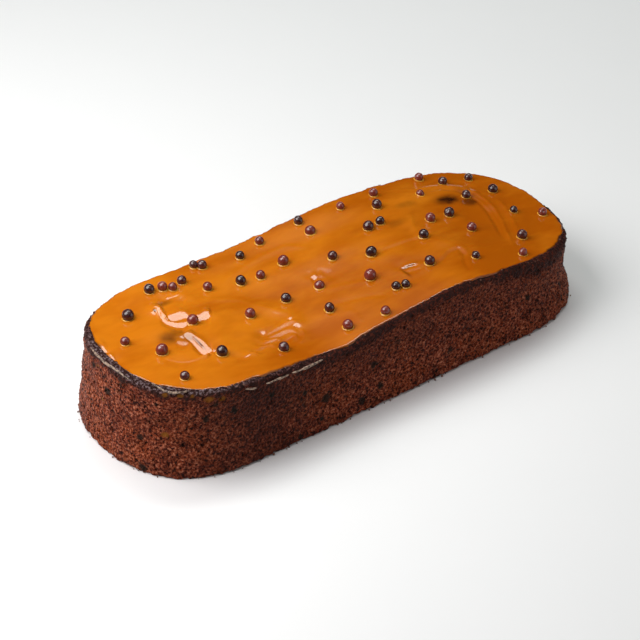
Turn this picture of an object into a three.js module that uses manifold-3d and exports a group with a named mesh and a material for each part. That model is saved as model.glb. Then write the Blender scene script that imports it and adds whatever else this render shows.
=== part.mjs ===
// A loaf-shaped date cake with a glossy caramel topping and small chocolate pearls.
// Millimetres, +Z up. The origin is the middle of the flat underside, and +X runs along the
// loaf. The long side at -Y is called the near side, and the one at +Y the far side.

import * as THREE from 'three';
import { mergeVertices } from 'three/addons/utils/BufferGeometryUtils.js';
import Module from 'manifold-3d';

// Plan outline of the loaf, at the shoulder where its side turns into its top.
const HALF_LENGTH = 145;
const HALF_WIDTH = 52.2;
const END_LENGTH = 55.7; // length of each rounded end, beyond the straight sides
const END_FULLNESS = 2.44; // 2 is an ellipse, more is squarer

// Height of the top: a fall along the loaf, a dome, a dip that fades out towards the far
// side, and a rise and a fall that fade out towards the near side.
const LEFT_HEIGHT = 52.8;
const RIGHT_HEIGHT = 38.6;
const DOME = { x: 57, spread: 46, rise: 6.7 };
const NEAR_DIP = { x: -48, spread: 28, rise: -4.2 };
const FAR_RISE = { x: 10, spread: 30, rise: 2.4 };
const FAR_FALL = { x: -118, spread: 26, rise: -2.2 };

// Side of the loaf.
const BASE_FLARE = 4.3; // how far the foot stands out past the shoulder
const SIDE_PINCH = 0.5; // hollow of the side at mid height
const END_PINCH = 3.4; // what the hollow gains at the right-hand end
const PINCH_LEVEL = 0.58; // as a share of the height
const PINCH_SPREAD = 0.26;
const FOOT_ROUNDING = 1.2;
const CRUMB_UNEVENNESS = 0.55;

// Crust round the top. It is widest round the left-hand end and narrow along the far side. On
// the near side the caramel's edge wanders: it runs close to the shoulder in some places.
const RIM_EVEN = 2.2;
const RIM_NEAR = 1.1; // what the near side gains and the far side loses
const RIM_LEFT = 3.0; // what the left-hand end gains
const RIM_LEAST = 1.2;
const RIM_WAVE = 0.2;
const RIM_WANDER = [
  { x: -133, spread: 12, rise: 1.3 },
  { x: -80, spread: 10, rise: -1.1 },
  { x: -52, spread: 11, rise: 1.4 },
  { x: -30, spread: 8, rise: -1.6 },
  { x: 34, spread: 16, rise: 1.1 },
  { x: 64, spread: 11, rise: -1.4 },
  { x: 116, spread: 18, rise: 2.0 },
];
const SHOULDER_DROP = 2.2;
const SHOULDER_RUN = 4;

// Caramel, which lies in a shallow recess of the crust.
const RECESS_DEPTH = 4.1;
const GAP = 0.3; // clearance between caramel and crust
const CARAMEL_LEVEL = 0.15; // how far its surface lies below the crust
const EDGE_DROP = 0.5; // rounding of its rim
const EDGE_RUN = 3.5;
const SWELL = 0.32; // height of its slow waves
const SPATULA_ARCS = [
  { x: 92, y: 2, radius: 31, width: 5.5, rise: 0.55 },
  { x: 104, y: -2, radius: 14, width: 5, rise: 0.4 },
  { x: -62, y: -18, radius: 22, width: 5, rise: 0.4 },
];

// Chocolate pearls: [x, y, diameter, share of the diameter that is sunk in the caramel].
const SUNK = 0.22;
const DARK_PEARLS = [
  [-119, -31.5, 5], [-112, 29, 6.5], [-90.5, -24, 6.2], [-90, 41.5, 5.6], [-71, 39, 5.2],
  [-60, -36, 5.6], [-57, 48, 4.8], [-53.5, 45, 5.4], [-44.5, 22.5, 5.8], [-33.5, -2.5, 5.6],
  [-31.5, 41, 5], [-20.5, -23, 5.6], [7, 10, 5.4], [11.5, 46, 5.2], [18, -30.5, 4.9],
  [23, -32.5, 4.9], [25.5, 0, 6.2], [39, 19.5, 5.9], [45.5, -25, 5.9], [47.5, 20, 5.1],
  [56, 33.5, 5.9], [58.5, -4, 5.6], [70.5, -33.5, 4.6], [87, 8.5, 5.9], [107.5, 38.5, 5.1],
  [108.5, -28, 5.9], [109.5, 20.5, 5], [122.5, -5, 4.3], [124, 35.5, 4.8], [127.5, 18.5, 5.5],
];
const COPPER_PEARLS = [
  [-126.5, 10.5, 5], [-115.5, -6.5, 6.6], [-87, 6.5, 5.8], [-83, 39.5, 5.6], [-78.5, 36.5, 5],
  [-62.5, 27.5, 5.3], [-57.5, -3.5, 5.9], [-33, 20.5, 5.3], [-21.5, -40, 5.9],
  [-16, 23, 6.1], [-15.5, 45, 5], [-12.5, -4, 5.8, 0.4], [0.5, -43.5, 5.2], [12, 36, 6.2, 0.4],
  [12.5, -15.5, 6.4], [38, 43, 4.6], [62, 44, 5.1], [73.5, 8.5, 5.7], [86, 32.5, 4.6, 0.4],
  [88, -9.5, 5.3], [97, -42, 4.8], [97.5, 47.5, 5.2], [136, -14, 5.1],
];

// Steps of the surfaces.
const STEPS_PER_QUARTER = 15; // along a quarter of an end
const STEPS_PER_SIDE = 30; // along a straight side
const SIDE_LEVELS = [0.03, 0.15, 0.3, 0.45, 0.6, 0.75, 0.88, 1];
const CRUST_STEPS = [0.35, 0.7, 1]; // from the shoulder to the caramel
const FLOOR_STEPS = [0.5, 1]; // from the edge of the recess to its middle line
const CARAMEL_STEPS = [0.07, 0.18, 0.32, 0.46, 0.6, 0.74, 0.87, 1];
const SPINE_HALF = 100; // half length of the middle line on which the surfaces close
const PEARL_DETAIL = 1;

// ---------------------------------------------------------------- plan and heights

const STRAIGHT_HALF = HALF_LENGTH - END_LENGTH;

/** A bell-shaped rise of 1 at the middle of `bump`, along x. */
function bell(x, bump) {
  return Math.exp(-(((x - bump.x) / bump.spread) ** 2));
}

/** Height of the crust at a place in plan, before its shoulder is rounded. */
function topHeight(x, y) {
  const along = 0.5 + x / (2 * HALF_LENGTH);
  const far = 0.5 + y / (2 * HALF_WIDTH);
  const fall = LEFT_HEIGHT + (RIGHT_HEIGHT - LEFT_HEIGHT) * along;
  const dome = DOME.rise * bell(x, DOME);
  const nearSide = NEAR_DIP.rise * bell(x, NEAR_DIP);
  const farSide = FAR_RISE.rise * bell(x, FAR_RISE) + FAR_FALL.rise * bell(x, FAR_FALL);
  return fall + dome + nearSide * (1 - far) + farSide * far;
}

/** A place on a rounded end at an angle from +X, with its outward normal. */
function endStation(angle) {
  const cos = Math.cos(angle);
  const sin = Math.sin(angle);
  const reach = (Math.abs(cos) / END_LENGTH) ** END_FULLNESS
    + (Math.abs(sin) / HALF_WIDTH) ** END_FULLNESS;
  const radius = reach ** (-1 / END_FULLNESS);
  const x = cos * radius;
  const y = sin * radius;
  const normal = new THREE.Vector2(
    Math.sign(x) * Math.abs(x) ** (END_FULLNESS - 1) / END_LENGTH ** END_FULLNESS,
    Math.sign(y) * Math.abs(y) ** (END_FULLNESS - 1) / HALF_WIDTH ** END_FULLNESS,
  ).normalize();
  return { x: x + Math.sign(x) * STRAIGHT_HALF, y, nx: normal.x, ny: normal.y };
}

/** Stations of the outline, anticlockwise from +X, with the same places at +y and -y. */
function outlineStations() {
  const half = [];
  for (let i = 0; i < STEPS_PER_QUARTER; i += 1) {
    half.push(endStation((i / STEPS_PER_QUARTER) * Math.PI / 2));
  }
  for (let i = 0; i <= STEPS_PER_SIDE; i += 1) {
    const x = STRAIGHT_HALF * (1 - (2 * i) / STEPS_PER_SIDE);
    half.push({ x, y: HALF_WIDTH, nx: 0, ny: 1 });
  }
  for (let i = 1; i < STEPS_PER_QUARTER; i += 1) {
    half.push(endStation((1 + i / STEPS_PER_QUARTER) * Math.PI / 2));
  }
  const tip = { x: -HALF_LENGTH, y: 0, nx: -1, ny: 0 };
  const mirrored = half.slice(1).reverse().map((s) => ({ ...s, y: -s.y, ny: -s.ny }));
  half[0] = { x: HALF_LENGTH, y: 0, nx: 1, ny: 0 };
  return [...half, tip, ...mirrored];
}

const STATIONS = outlineStations();

/** Width of the bare crust at a station. */
function rimWidth(station) {
  const mean = RIM_EVEN - RIM_NEAR * station.ny + RIM_LEFT * Math.min(0, station.nx) ** 2;
  const wander = RIM_WANDER.reduce((sum, part) => sum + part.rise * bell(station.x, part), 0);
  const wave = RIM_WAVE * Math.sin(station.x / 7 + station.y / 9);
  return Math.max(RIM_LEAST, mean + wander * Math.max(0, -station.ny) + wave);
}

/** The place at a distance outside (or, if negative, inside) a station of the outline. */
function offsetPlace(station, distance) {
  return { x: station.x + station.nx * distance, y: station.y + station.ny * distance };
}

/** The place on the middle line that a station's row ends on. */
function spinePlace(station) {
  const beyond = Math.max(0, Math.abs(station.x) - STRAIGHT_HALF);
  const share = beyond / END_LENGTH;
  const x = Math.abs(station.x) - beyond + share * (SPINE_HALF - STRAIGHT_HALF);
  return { x: Math.sign(station.x) * x, y: 0 };
}

/** The place at a share of the way from one place to another. */
function between(from, to, share) {
  return { x: from.x + (to.x - from.x) * share, y: from.y + (to.y - from.y) * share };
}

// ---------------------------------------------------------------- solids from rows

/** A closed geometry from rows of points, one point for each station in every row. */
function geometryFromRows(rows) {
  const count = STATIONS.length;
  const positions = rows.flat().flatMap((p) => [p.x, p.y, p.z]);
  const indices = [];
  for (let r = 0; r + 1 < rows.length; r += 1) {
    for (let i = 0; i < count; i += 1) {
      const next = (i + 1) % count;
      const a = r * count + i;
      const b = r * count + next;
      const c = (r + 1) * count + next;
      const d = (r + 1) * count + i;
      indices.push(a, b, c, a, c, d);
    }
  }
  const geometry = new THREE.BufferGeometry();
  geometry.setAttribute('position', new THREE.Float32BufferAttribute(positions, 3));
  geometry.setIndex(indices);
  return mergeVertices(geometry);
}

/** One row: a point for each station, from a rule that gives its place and height. */
function row(rule) {
  return STATIONS.map((station) => {
    const { place, z } = rule(station);
    return new THREE.Vector3(place.x, place.y, z);
  });
}

// ---------------------------------------------------------------- sponge

/** Low lumps of the baked side, along the outward normal. */
function sideLumps(station, z) {
  const slow = Math.sin(station.x / 9 + 0.11 * z) * Math.cos(station.y / 8 - 0.17 * z);
  const quick = Math.sin(station.x / 3.7 - station.y / 4.3 + 0.31 * z);
  return CRUMB_UNEVENNESS * (0.65 * slow + 0.35 * quick);
}

/** How far the side stands outside the shoulder at a share of the height. */
function sideOffset(station, level) {
  const pinch = SIDE_PINCH + END_PINCH * Math.max(0, station.nx);
  const hollow = pinch * Math.exp(-(((level - PINCH_LEVEL) / PINCH_SPREAD) ** 2));
  return BASE_FLARE * (1 - level) ** 1.2 - hollow;
}

/** Height of the crust at a distance inside the shoulder. */
function crustHeight(place, inset) {
  const roundness = Math.max(0, 1 - inset / SHOULDER_RUN) ** 2;
  return topHeight(place.x, place.y) - SHOULDER_DROP * roundness;
}

function sideRow(level) {
  return row((station) => {
    const z = level * crustHeight(station, 0);
    const lumps = sideLumps(station, z) * Math.sin(Math.PI * Math.min(level, 0.9));
    return { place: offsetPlace(station, sideOffset(station, level) + lumps), z };
  });
}

function crustRow(share) {
  return row((station) => {
    const inset = rimWidth(station) * share;
    const place = offsetPlace(station, -inset);
    return { place, z: crustHeight(place, inset) };
  });
}

function recessRow(share) {
  return row((station) => {
    const edge = offsetPlace(station, -rimWidth(station));
    const place = between(edge, spinePlace(station), share);
    return { place, z: topHeight(place.x, place.y) - RECESS_DEPTH };
  });
}

function spongeGeometry() {
  const rows = [
    row((station) => ({ place: spinePlace(station), z: 0 })),
    row((station) => ({ place: offsetPlace(station, BASE_FLARE - FOOT_ROUNDING), z: 0 })),
    ...SIDE_LEVELS.map(sideRow),
    ...CRUST_STEPS.map(crustRow),
    recessRow(0),
    ...FLOOR_STEPS.map(recessRow),
  ];
  return geometryFromRows(rows);
}

// ---------------------------------------------------------------- caramel and pearls

/** Slow waves and the ridges that a spatula left. */
function caramelRelief(x, y) {
  const waves = Math.sin(x / 13 + y / 21) * Math.cos(y / 11 - x / 37);
  const ridges = SPATULA_ARCS.map((arc) => {
    const away = Math.hypot(x - arc.x, y - arc.y) - arc.radius;
    return arc.rise * Math.exp(-((away / arc.width) ** 2));
  });
  return SWELL * waves + ridges.reduce((sum, ridge) => sum + ridge, 0);
}

/** Height of the caramel's surface at a distance inside its own edge. */
function caramelHeight(place, inset) {
  const edge = Math.max(0, 1 - inset / EDGE_RUN);
  const level = topHeight(place.x, place.y) - CARAMEL_LEVEL - EDGE_DROP * edge ** 2;
  return level + caramelRelief(place.x, place.y) * (1 - edge);
}

function caramelEdge(station) {
  return offsetPlace(station, -rimWidth(station) - GAP);
}

function caramelTopRow(share) {
  return row((station) => {
    const edge = caramelEdge(station);
    const place = between(edge, spinePlace(station), share);
    const inset = Math.hypot(place.x - edge.x, place.y - edge.y);
    return { place, z: caramelHeight(place, inset) };
  });
}

function caramelUndersideRow(share) {
  return row((station) => {
    const place = between(caramelEdge(station), spinePlace(station), share);
    return { place, z: topHeight(place.x, place.y) - RECESS_DEPTH + GAP };
  });
}

function caramelLayerGeometry() {
  const rows = [
    ...FLOOR_STEPS.toReversed().map(caramelUndersideRow),
    caramelUndersideRow(0),
    caramelTopRow(0),
    ...CARAMEL_STEPS.map(caramelTopRow),
  ];
  return geometryFromRows(rows);
}

/** One pearl, a slightly flattened ball, turned by its own place so that no two look alike. */
function pearlGeometry([x, y, diameter, sunk = SUNK]) {
  const ball = new THREE.IcosahedronGeometry(diameter / 2, PEARL_DETAIL);
  ball.rotateX(x);
  ball.rotateZ(y);
  ball.scale(1, 1, 0.96);
  const height = caramelHeight({ x, y }, EDGE_RUN) + diameter * (0.5 - sunk);
  ball.translate(x, y, height);
  ball.deleteAttribute('normal');
  ball.deleteAttribute('uv');
  return mergeVertices(ball);
}

const wasm = await Module();
wasm.setup();

/** A solid for joining, from a closed geometry. */
function solidFrom(geometry) {
  return new wasm.Manifold(new wasm.Mesh({
    numProp: 3,
    vertProperties: new Float32Array(geometry.attributes.position.array),
    triVerts: new Uint32Array(geometry.index.array),
  }));
}

/** The geometry of a joined solid. */
function geometryFrom(solid) {
  const mesh = solid.getMesh();
  const geometry = new THREE.BufferGeometry();
  geometry.setAttribute('position', new THREE.BufferAttribute(mesh.vertProperties, 3));
  geometry.setIndex(new THREE.BufferAttribute(mesh.triVerts, 1));
  return geometry;
}

/** The caramel with every pearl fused to it. */
function caramelToppingGeometry() {
  const pearls = [...DARK_PEARLS, ...COPPER_PEARLS].map(pearlGeometry);
  const topping = pearls.reduce(
    (joined, pearl) => joined.add(solidFrom(pearl)),
    solidFrom(caramelLayerGeometry()),
  );
  return geometryFrom(topping);
}

// ---------------------------------------------------------------- materials and model

const spongeMaterial = new THREE.MeshStandardMaterial({
  color: 0x4a241a,
  roughness: 0.9,
  metalness: 0,
});

const caramelMaterial = new THREE.MeshStandardMaterial({
  color: 0xc8690f,
  roughness: 0.15,
  metalness: 0,
});

function namedMesh(name, geometry, material) {
  const mesh = new THREE.Mesh(geometry, material);
  mesh.name = name;
  return mesh;
}

const group = new THREE.Group();
group.add(namedMesh('sponge', spongeGeometry(), spongeMaterial));
group.add(namedMesh('caramel_topping', caramelToppingGeometry(), caramelMaterial));

export default group;
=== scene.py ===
"""The finish of a date cream cake: a dark loaf sponge under glossy caramel with chocolate pearls.

Shapes are worked out in millimetres and put into the meshes in metres. +X runs along the loaf
from its higher end to its lower one, the near long side faces -Y, and +Z is up.
"""

import itertools
import math
from collections import namedtuple

import bmesh
import bpy
import numpy as np
from bpy.props import FloatProperty, FloatVectorProperty, IntProperty, PointerProperty
from mathutils import Matrix, Vector


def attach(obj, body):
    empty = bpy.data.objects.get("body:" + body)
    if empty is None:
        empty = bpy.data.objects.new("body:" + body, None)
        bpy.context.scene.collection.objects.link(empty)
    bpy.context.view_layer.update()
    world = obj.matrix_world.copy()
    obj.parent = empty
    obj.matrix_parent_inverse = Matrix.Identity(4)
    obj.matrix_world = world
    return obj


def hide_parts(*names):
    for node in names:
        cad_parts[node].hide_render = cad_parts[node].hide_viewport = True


bl_info = {
    "name": "Date Cream Cake",
    "version": (1, 0, 0),
    "blender": (4, 5, 0),
    "location": "View3D > Sidebar > Date Cake",
    "description": "Builds a date loaf cake with caramel and chocolate pearls",
    "category": "Add Mesh",
}

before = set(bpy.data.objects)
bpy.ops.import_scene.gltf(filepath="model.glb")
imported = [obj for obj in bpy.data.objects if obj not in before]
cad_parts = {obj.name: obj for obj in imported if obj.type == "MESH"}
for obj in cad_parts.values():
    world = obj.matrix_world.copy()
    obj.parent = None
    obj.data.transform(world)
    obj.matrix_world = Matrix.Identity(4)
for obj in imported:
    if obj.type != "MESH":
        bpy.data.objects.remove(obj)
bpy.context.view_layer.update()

MM = 0.001  # metres in a millimetre

# ---------------------------------------------------------------- form of the loaf, in millimetres

Bell = namedtuple("Bell", "x spread rise")
# A wave turns by a radian over each of its lengths, and by its z turn with each unit of height.
Wave = namedtuple("Wave", "x_length y_length z_turn", defaults=(0.0,))

END_FULLNESS = 2.44  # 2 makes the ends ellipses, more makes them squarer
DOME = Bell(57, 46, 6.7)
NEAR_DIP = Bell(-48, 28, -4.2)
FAR_RISE = Bell(10, 30, 2.4)
FAR_FALL = Bell(-118, 26, -2.2)
# Levels are shares of the side's height.
SIDE_PINCH = 0.5
END_PINCH = 3.4  # what the hollow of the side gains at the lower end
PINCH_LEVEL = 0.58
PINCH_SPREAD = 0.26
FLARE_POWER = 1.2
FOOT_ROUNDING = 1.2
FOOT_LEVEL = 0.03
SIDE_UNEVENNESS = 0.55
SLOW_SHARE = 0.65  # of the side's lumps, the rest are quick ones
SIDE_WAVES = (Wave(9, math.inf, 0.11), Wave(math.inf, 8, -0.17), Wave(3.7, -4.3, 0.31))
LUMPS_LEVEL = 0.9  # from here up the side's lumps stay as they are
RIM_LEAST = 1.2
RIM_WAVE_RISE = 0.2
RIM_WAVE = Wave(7, 9)
# Where the caramel's edge on the near side stays farther in (+) or runs closer to the shoulder.
RIM_WANDER = (
    Bell(-133, 12, 1.3), Bell(-80, 10, -1.1), Bell(-52, 11, 1.4), Bell(-30, 8, -1.6),
    Bell(34, 16, 1.1), Bell(64, 11, -1.4), Bell(116, 18, 2.0),
)
SHOULDER_DROP = 2.2
SHOULDER_RUN = 4.0
CARAMEL_LEVEL = 0.15  # how far the caramel lies below the loaf's top
EDGE_DROP = 0.32
EDGE_ROUND = 0.8  # how far from its edge the caramel starts to drop
GAP = 0.3  # between the caramel and its recess
SWELL = 0.32
SWELL_ALONG = Wave(13, 21)
SWELL_ACROSS = Wave(-37, 11)
SPINE_REACH = 10.7  # how far the middle line runs on into each rounded end

# Rings that a spatula left in the caramel: x, y, radius, width, rise.
SPATULA_ARCS = (
    (92, 2, 31, 5.5, 0.55),
    (104, -2, 14, 5, 0.4),
    (-62, -18, 22, 5, 0.4),
)

# Laps of the caramel, whose faces lean towards the near side. Each is the steepness of its face
# and the points of its middle line: x, y and half width.
STEEP, SLANTED = 0.24, 0.171
LAPS = (
    # the hook at the high end, its two arms
    (STEEP, ((-95.9, 26.6, 0.7), (-96.4, 23.2, 2.7), (-97.5, 18.9, 2.9), (-97.5, 15.3, 2.5),
             (-96.8, 11.9, 1.7), (-94.9, 9.2, 1.8), (-92.3, 7.5, 2.0), (-88.7, 7.3, 1.6),
             (-86.6, 7.5, 0.0))),
    (STEEP, ((-97.0, 16.9, 0.0), (-95.4, 16.5, 2.0), (-93.1, 15.3, 3.0), (-89.8, 14.5, 3.1),
             (-87.4, 13.5, 2.5), (-85.8, 11.3, 1.1), (-84.0, 9.4, 1.5), (-81.9, 7.8, 2.5),
             (-78.8, 7.7, 3.3), (-77.0, 6.7, 2.9), (-76.0, 5.5, 0.0))),
    # the blob in front of it, a smaller one beside that and the arc round both
    (STEEP, ((-98.3, -0.9, 0.0), (-97.6, -1.8, 1.8), (-96.7, -3.2, 2.7), (-96.2, -5.1, 3.1),
             (-96.0, -8.3, 3.5), (-95.7, -12.3, 4.4), (-95.3, -16.1, 4.2), (-94.0, -18.7, 2.2),
             (-93.2, -20.1, 0.0))),
    (SLANTED, ((-104.9, -3.3, 0.0), (-103.7, -4.2, 1.6), (-102.1, -6.3, 1.9), (-100.4, -7.4, 1.5),
               (-99.5, -8.0, 0.0))),
    (SLANTED, ((-118.1, -8.7, 0.0), (-116.4, -13.4, 0.5), (-113.3, -17.7, 0.5),
               (-109.1, -20.6, 0.6), (-103.7, -21.7, 0.6), (-98.2, -21.0, 0.5),
               (-93.6, -19.8, 0.0))),
    # the thick edge at the high end
    (STEEP, ((-138.1, 15.0, 0.0), (-138.4, 12.6, 1.0), (-138.7, 10.0, 1.2), (-138.8, 7.6, 0.0))),
    (STEEP, ((-138.9, 7.0, 0.0), (-139.0, 4.9, 0.9), (-139.0, 2.6, 0.9), (-138.9, 0.6, 0.0))),
    # short bright lines
    (STEEP, ((-88.1, 31.4, 0.0), (-86.2, 31.3, 0.8), (-82.9, 30.6, 0.7), (-79.5, 30.1, 0.7),
             (-77.8, 29.8, 0.0))),
    (STEEP, ((-80.9, 25.4, 0.0), (-79.4, 25.7, 0.8), (-76.9, 26.4, 0.0))),
    (STEEP, ((-83.5, -31.9, 0.0), (-82.0, -32.4, 0.6), (-79.0, -32.6, 0.7), (-76.3, -32.4, 0.0))),
    # the fan
    (SLANTED, ((-61.3, -20.9, 0.0), (-58.5, -20.6, 1.1), (-54.4, -20.2, 1.6), (-49.7, -20.0, 1.9),
               (-45.6, -19.7, 2.0), (-42.7, -20.2, 2.0), (-41.0, -20.5, 0.0))),
    (SLANTED, ((-61.5, -22.9, 0.0), (-59.5, -23.5, 0.9), (-56.1, -24.1, 1.8), (-52.2, -24.2, 2.2),
               (-48.5, -24.5, 1.5), (-46.4, -25.9, 1.4), (-45.7, -28.4, 0.7), (-46.4, -30.2, 0.0))),
    (SLANTED, ((-55.9, -30.0, 0.0), (-53.8, -29.7, 0.8), (-50.0, -28.9, 1.1), (-47.2, -28.8, 0.0))),
    (SLANTED, ((-67.2, -27.1, 0.0), (-65.2, -26.9, 1.3), (-62.0, -26.9, 1.7), (-58.9, -27.0, 1.5),
               (-56.7, -27.6, 0.0))),
    (SLANTED, ((-73.6, -30.5, 0.0), (-71.3, -30.0, 1.3), (-68.6, -29.7, 1.5), (-65.6, -29.2, 0.9),
               (-63.2, -29.3, 0.0))),
    # bright drops beside two pearls
    (STEEP, ((-43.0, -15.6, 0.0), (-41.4, -16.8, 1.6), (-39.6, -17.4, 0.0))),
    (STEEP, ((-11.9, 5.0, 0.0), (-10.1, 3.5, 2.6), (-8.1, 1.9, 0.0))),
    (SLANTED, ((-8.9, 3.6, 0.0), (-7.2, 2.1, 1.8), (-4.9, -0.6, 0.0))),
    # the small slot on the near side
    (SLANTED, ((29.9, -18.6, 0.0), (32.7, -19.3, 0.5), (37.2, -20.5, 0.7), (40.9, -22.7, 0.0))),
    (SLANTED, ((32.2, -22.5, 0.0), (32.9, -23.3, 1.1), (35.3, -24.4, 1.1), (38.3, -25.1, 1.1),
               (39.1, -25.8, 0.0))),
)
LAP_FADE = 4.0  # how far beside a lap's face its height dies away
LAP_FOLLOW = 0.25  # how much of its middle line's wander a lap's level follows
LAP_SEAM = 0.3  # how softly two laps' faces meet
AWAY = np.array((0.62, 0.78))  # the way the laps climb, in plan
# Slow lumps of the caramel, drawn out along the loaf: rise, size and seed.
LUMPS = ((0.8, 15.0, 141), (0.22, 6.0, 142))
LUMP_STRETCH = 2.5

RIDGE_END = 0.18  # the share of a line's length over which a ridge dies away at each end
# Ridges and, where the rise is negative, grooves: rise, width and the points of the line.
RIDGES = (
    (0.22, 2.2, ((-58, 24), (-46, 30), (-34, 33), (-21, 35), (-6, 34), (6, 24))),
    (0.22, 2.2, ((-93, 14), (-80, 19), (-65, 18), (-54, 11), (-47, 0), (-41, -12), (-39, -20))),
    (0.2, 0.8, ((-41.5, -26), (-42.5, -30), (-46, -34), (-50, -36))),
    (-0.2, 1.6, ((28, -1.5), (38, -2.2), (50, -3), (58, -6), (70, -6.5), (86, -3.5))),
    (0.12, 1.8, ((28, 0.5), (40, 0), (52, -1), (68, -4), (86, -1.5))),
    (-0.3, 1.4, ((47, -30), (55, -26), (61, -23.5), (67, -23), (66, -29), (62, -35), (58, -44))),
    (0.14, 1.7, ((50, -27), (57, -23), (63, -21), (70, -22), (69.5, -29), (66, -36))),
    (0.2, 1.6, ((67, 18), (62, 10), (58, 2), (54, -4))),
    (0.36, 1.4, ((76, 36), (88, 38), (98, 37), (106, 35), (113, 30), (117, 22), (117, 12),
                 (115, 2), (111, -8), (105, -19), (100, -29), (95, -37))),
    (-0.4, 1.3, ((80, 32), (92, 34), (101, 33), (108, 28.5), (112, 21), (112, 12), (110, 2),
                  (106, -8), (101, -18), (96, -28))),
    (0.3, 1.7, ((124, 12), (121, 0), (116, -12), (109, -25), (104, -33))),
    (-0.3, 2.0, ((86, 42), (98, 43), (110, 38), (118, 31), (122, 22))),
    (0.2, 1.6, ((60, 45), (72, 44), (84, 40), (90, 37))),
    (-0.14, 2.0, ((-24, -21), (-15, -21), (-6, -24), (4, -28), (12, -34))),
    (0.12, 2.2, ((-14, -8), (-2, -12), (10, -17), (20, -22))),
    (0.12, 2.0, ((-14, -28), (-12, -34), (-14, -42))),
)

# Fine slits in the laps, given the same way.
SLITS = (
    (-0.14, 0.45, ((-95.6, -4.5), (-95.6, -10), (-95.2, -15))),
    (-0.4, 1.1, ((31, -26), (30.5, -20.5), (35, -21.3), (40, -23))),
)

# Places where the crumb shows dimly through the caramel, and narrow ones where shade is painted in
# the slits: x, y, half length, half width, strength.
THIN_AND_SHADED_PLACES = (
    (-103, 2, 8, 5.5, 0.62), (-98, -3, 4, 4, 0.5), (-90, 28.5, 5, 2.2, 0.55), (97, 22, 8, 4.5, 1.0),
    (107, 15, 5, 4, 0.85), (71, 27, 7, 3, 0.35), (55, 15, 7, 3, 0.3), (111, 24, 3, 7, 0.35),
    # From (-95, -10) on, these places lie along the slits and are painted shade.
    (-98, 25, 0.8, 1.2, 0.9), (-95, -10, 0.7, 5.5, 0.7), (30.2, -24, 1.0, 4, 0.5),
    (35, -20.4, 5, 0.9, 0.5),
)

# Paler (-) and deeper (+) patches of the caramel: x, y, half length, half width, change.
TONES = (
    (6, 26, 32, 18, -0.5), (38, 4, 22, 12, -0.7), (76, 30, 26, 13, -0.65), (46, -38, 15, 8, -0.6),
    (121, -34, 14, 9, -0.6), (-62, -40, 32, 9, 0.55), (70, -37, 9, 8, 0.3), (-5, -22, 13, 8, -0.4),
    (116, 3, 13, 20, 0.35), (92, -22, 12, 12, 0.25), (-80, 18, 13, 8, 0.3), (-28, -34, 18, 9, 0.35),
)

# The caramel's outline: how far it wanders. Then the shares that make its tone deeper in hollows
# and along x, and those that make it thin. Noise is given as rise, size and seed.
EDGE_WANDER = ((1.3, 5.0, 111), (0.6, 1.6, 112))
HOLLOW_DEPTH = 0.25
HOLLOW_RANGE = 0.5  # how far above or below its level the caramel is palest or deepest
DEPTH_ALONG = ((0.8, -125, 60), (0.1, 80, 115))  # gain, where it starts and where it is full
THIN_EDGE = 0.55
THIN_EDGE_WIDTH = 0.7
THIN_LEAST = 0.75
THIN_MOTTLE = (0.5, 3.0, 113)

# Pearls: x, y, diameter and, where they aren't the usual, the share that is sunk in the caramel
# and the depth of a hole in the pearl, as a share of its radius.
SUNK = 0.22
NO_HOLE = 0.0
DARK_PEARLS = (
    (-119, -31.5, 5), (-112, 29, 6.5), (-90.5, -24, 6.2), (-90, 41.5, 5.6), (-71, 39, 5.2),
    (-60, -36, 5.6), (-57, 48, 4.8), (-53.5, 45, 5.4), (-44.5, 22.5, 5.8), (-33.5, -2.5, 5.6),
    (-31.5, 41, 5), (-20.5, -23, 5.6), (7, 10, 5.4), (11.5, 46, 5.2), (18, -30.5, 4.9),
    (23, -32.5, 4.9), (25.5, 0, 6.2), (39, 19.5, 5.9), (45.5, -25, 5.9), (47.5, 20, 5.1),
    (56, 33.5, 5.9), (58.5, -4, 5.6), (70.5, -33.5, 4.6), (87, 8.5, 5.9), (107.5, 38.5, 5.1),
    (108.5, -28, 5.9), (109.5, 20.5, 5), (122.5, -5, 4.3), (124, 35.5, 4.8), (127.5, 18.5, 5.5),
)
COPPER_PEARLS = (
    (-126.5, 10.5, 5), (-115.5, -6.5, 6.6), (-87, 6.5, 5.8), (-83, 39.5, 5.6), (-78.5, 36.5, 5),
    (-62.5, 27.5, 5.3), (-57.5, -3.5, 5.9), (-33, 20.5, 5.3), (-21.5, -40, 5.9),
    (-16, 23, 6.1), (-15.5, 45, 5), (-12.5, -4, 5.8, 0.4), (0.5, -43.5, 5.2), (12, 36, 6.2, 0.4),
    (12.5, -15.5, 6.4), (38, 43, 4.6), (62, 44, 5.1), (73.5, 8.5, 5.7), (86, 32.5, 4.6, 0.4),
    (88, -9.5, 5.3), (97, -42, 4.8), (97.5, 47.5, 5.2), (136, -14, 5.1, SUNK, 0.6),
)

# Relief of the pearls. Its depths are shares of a pearl's radius.
DENT_FINENESS = 1.4  # how many lattice cells of noise a radius takes in
DENT_STEP = 7.3  # moves each pearl to another part of the noise
DENT_RISE = 1.6  # in unevennesses
DIMPLED_SHARE = 0.3  # of all pearls
DIMPLE_DEPTH = 0.16
DIMPLE_SPREAD = 0.035
DIMPLE_LEAN = (0, -0.6, 1.2)  # dimples mostly face up and to the near side
HOLE_FACING = (-0.3, -0.7, 0.7)
TINTS = (-0.2, 0.15)  # how far a pearl's colour goes to the other one
# The caramel that climbs up a pearl: share of the climb's width and share of its rise.
COLLAR_PROFILE = (
    (0.0, -0.8), (0.0, 1.0), (0.12, 0.82), (0.28, 0.6), (0.5, 0.32), (0.75, 0.08), (1.0, -0.06),
    (1.0, -0.8),
)
COLLAR_WOBBLE = 0.35  # share of the width that comes and goes round a pearl
COLLAR_LAP = 0.12  # how far it reaches into the pearl
COLLAR_LEAST = 0.2  # radius at the pearl, at least

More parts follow.
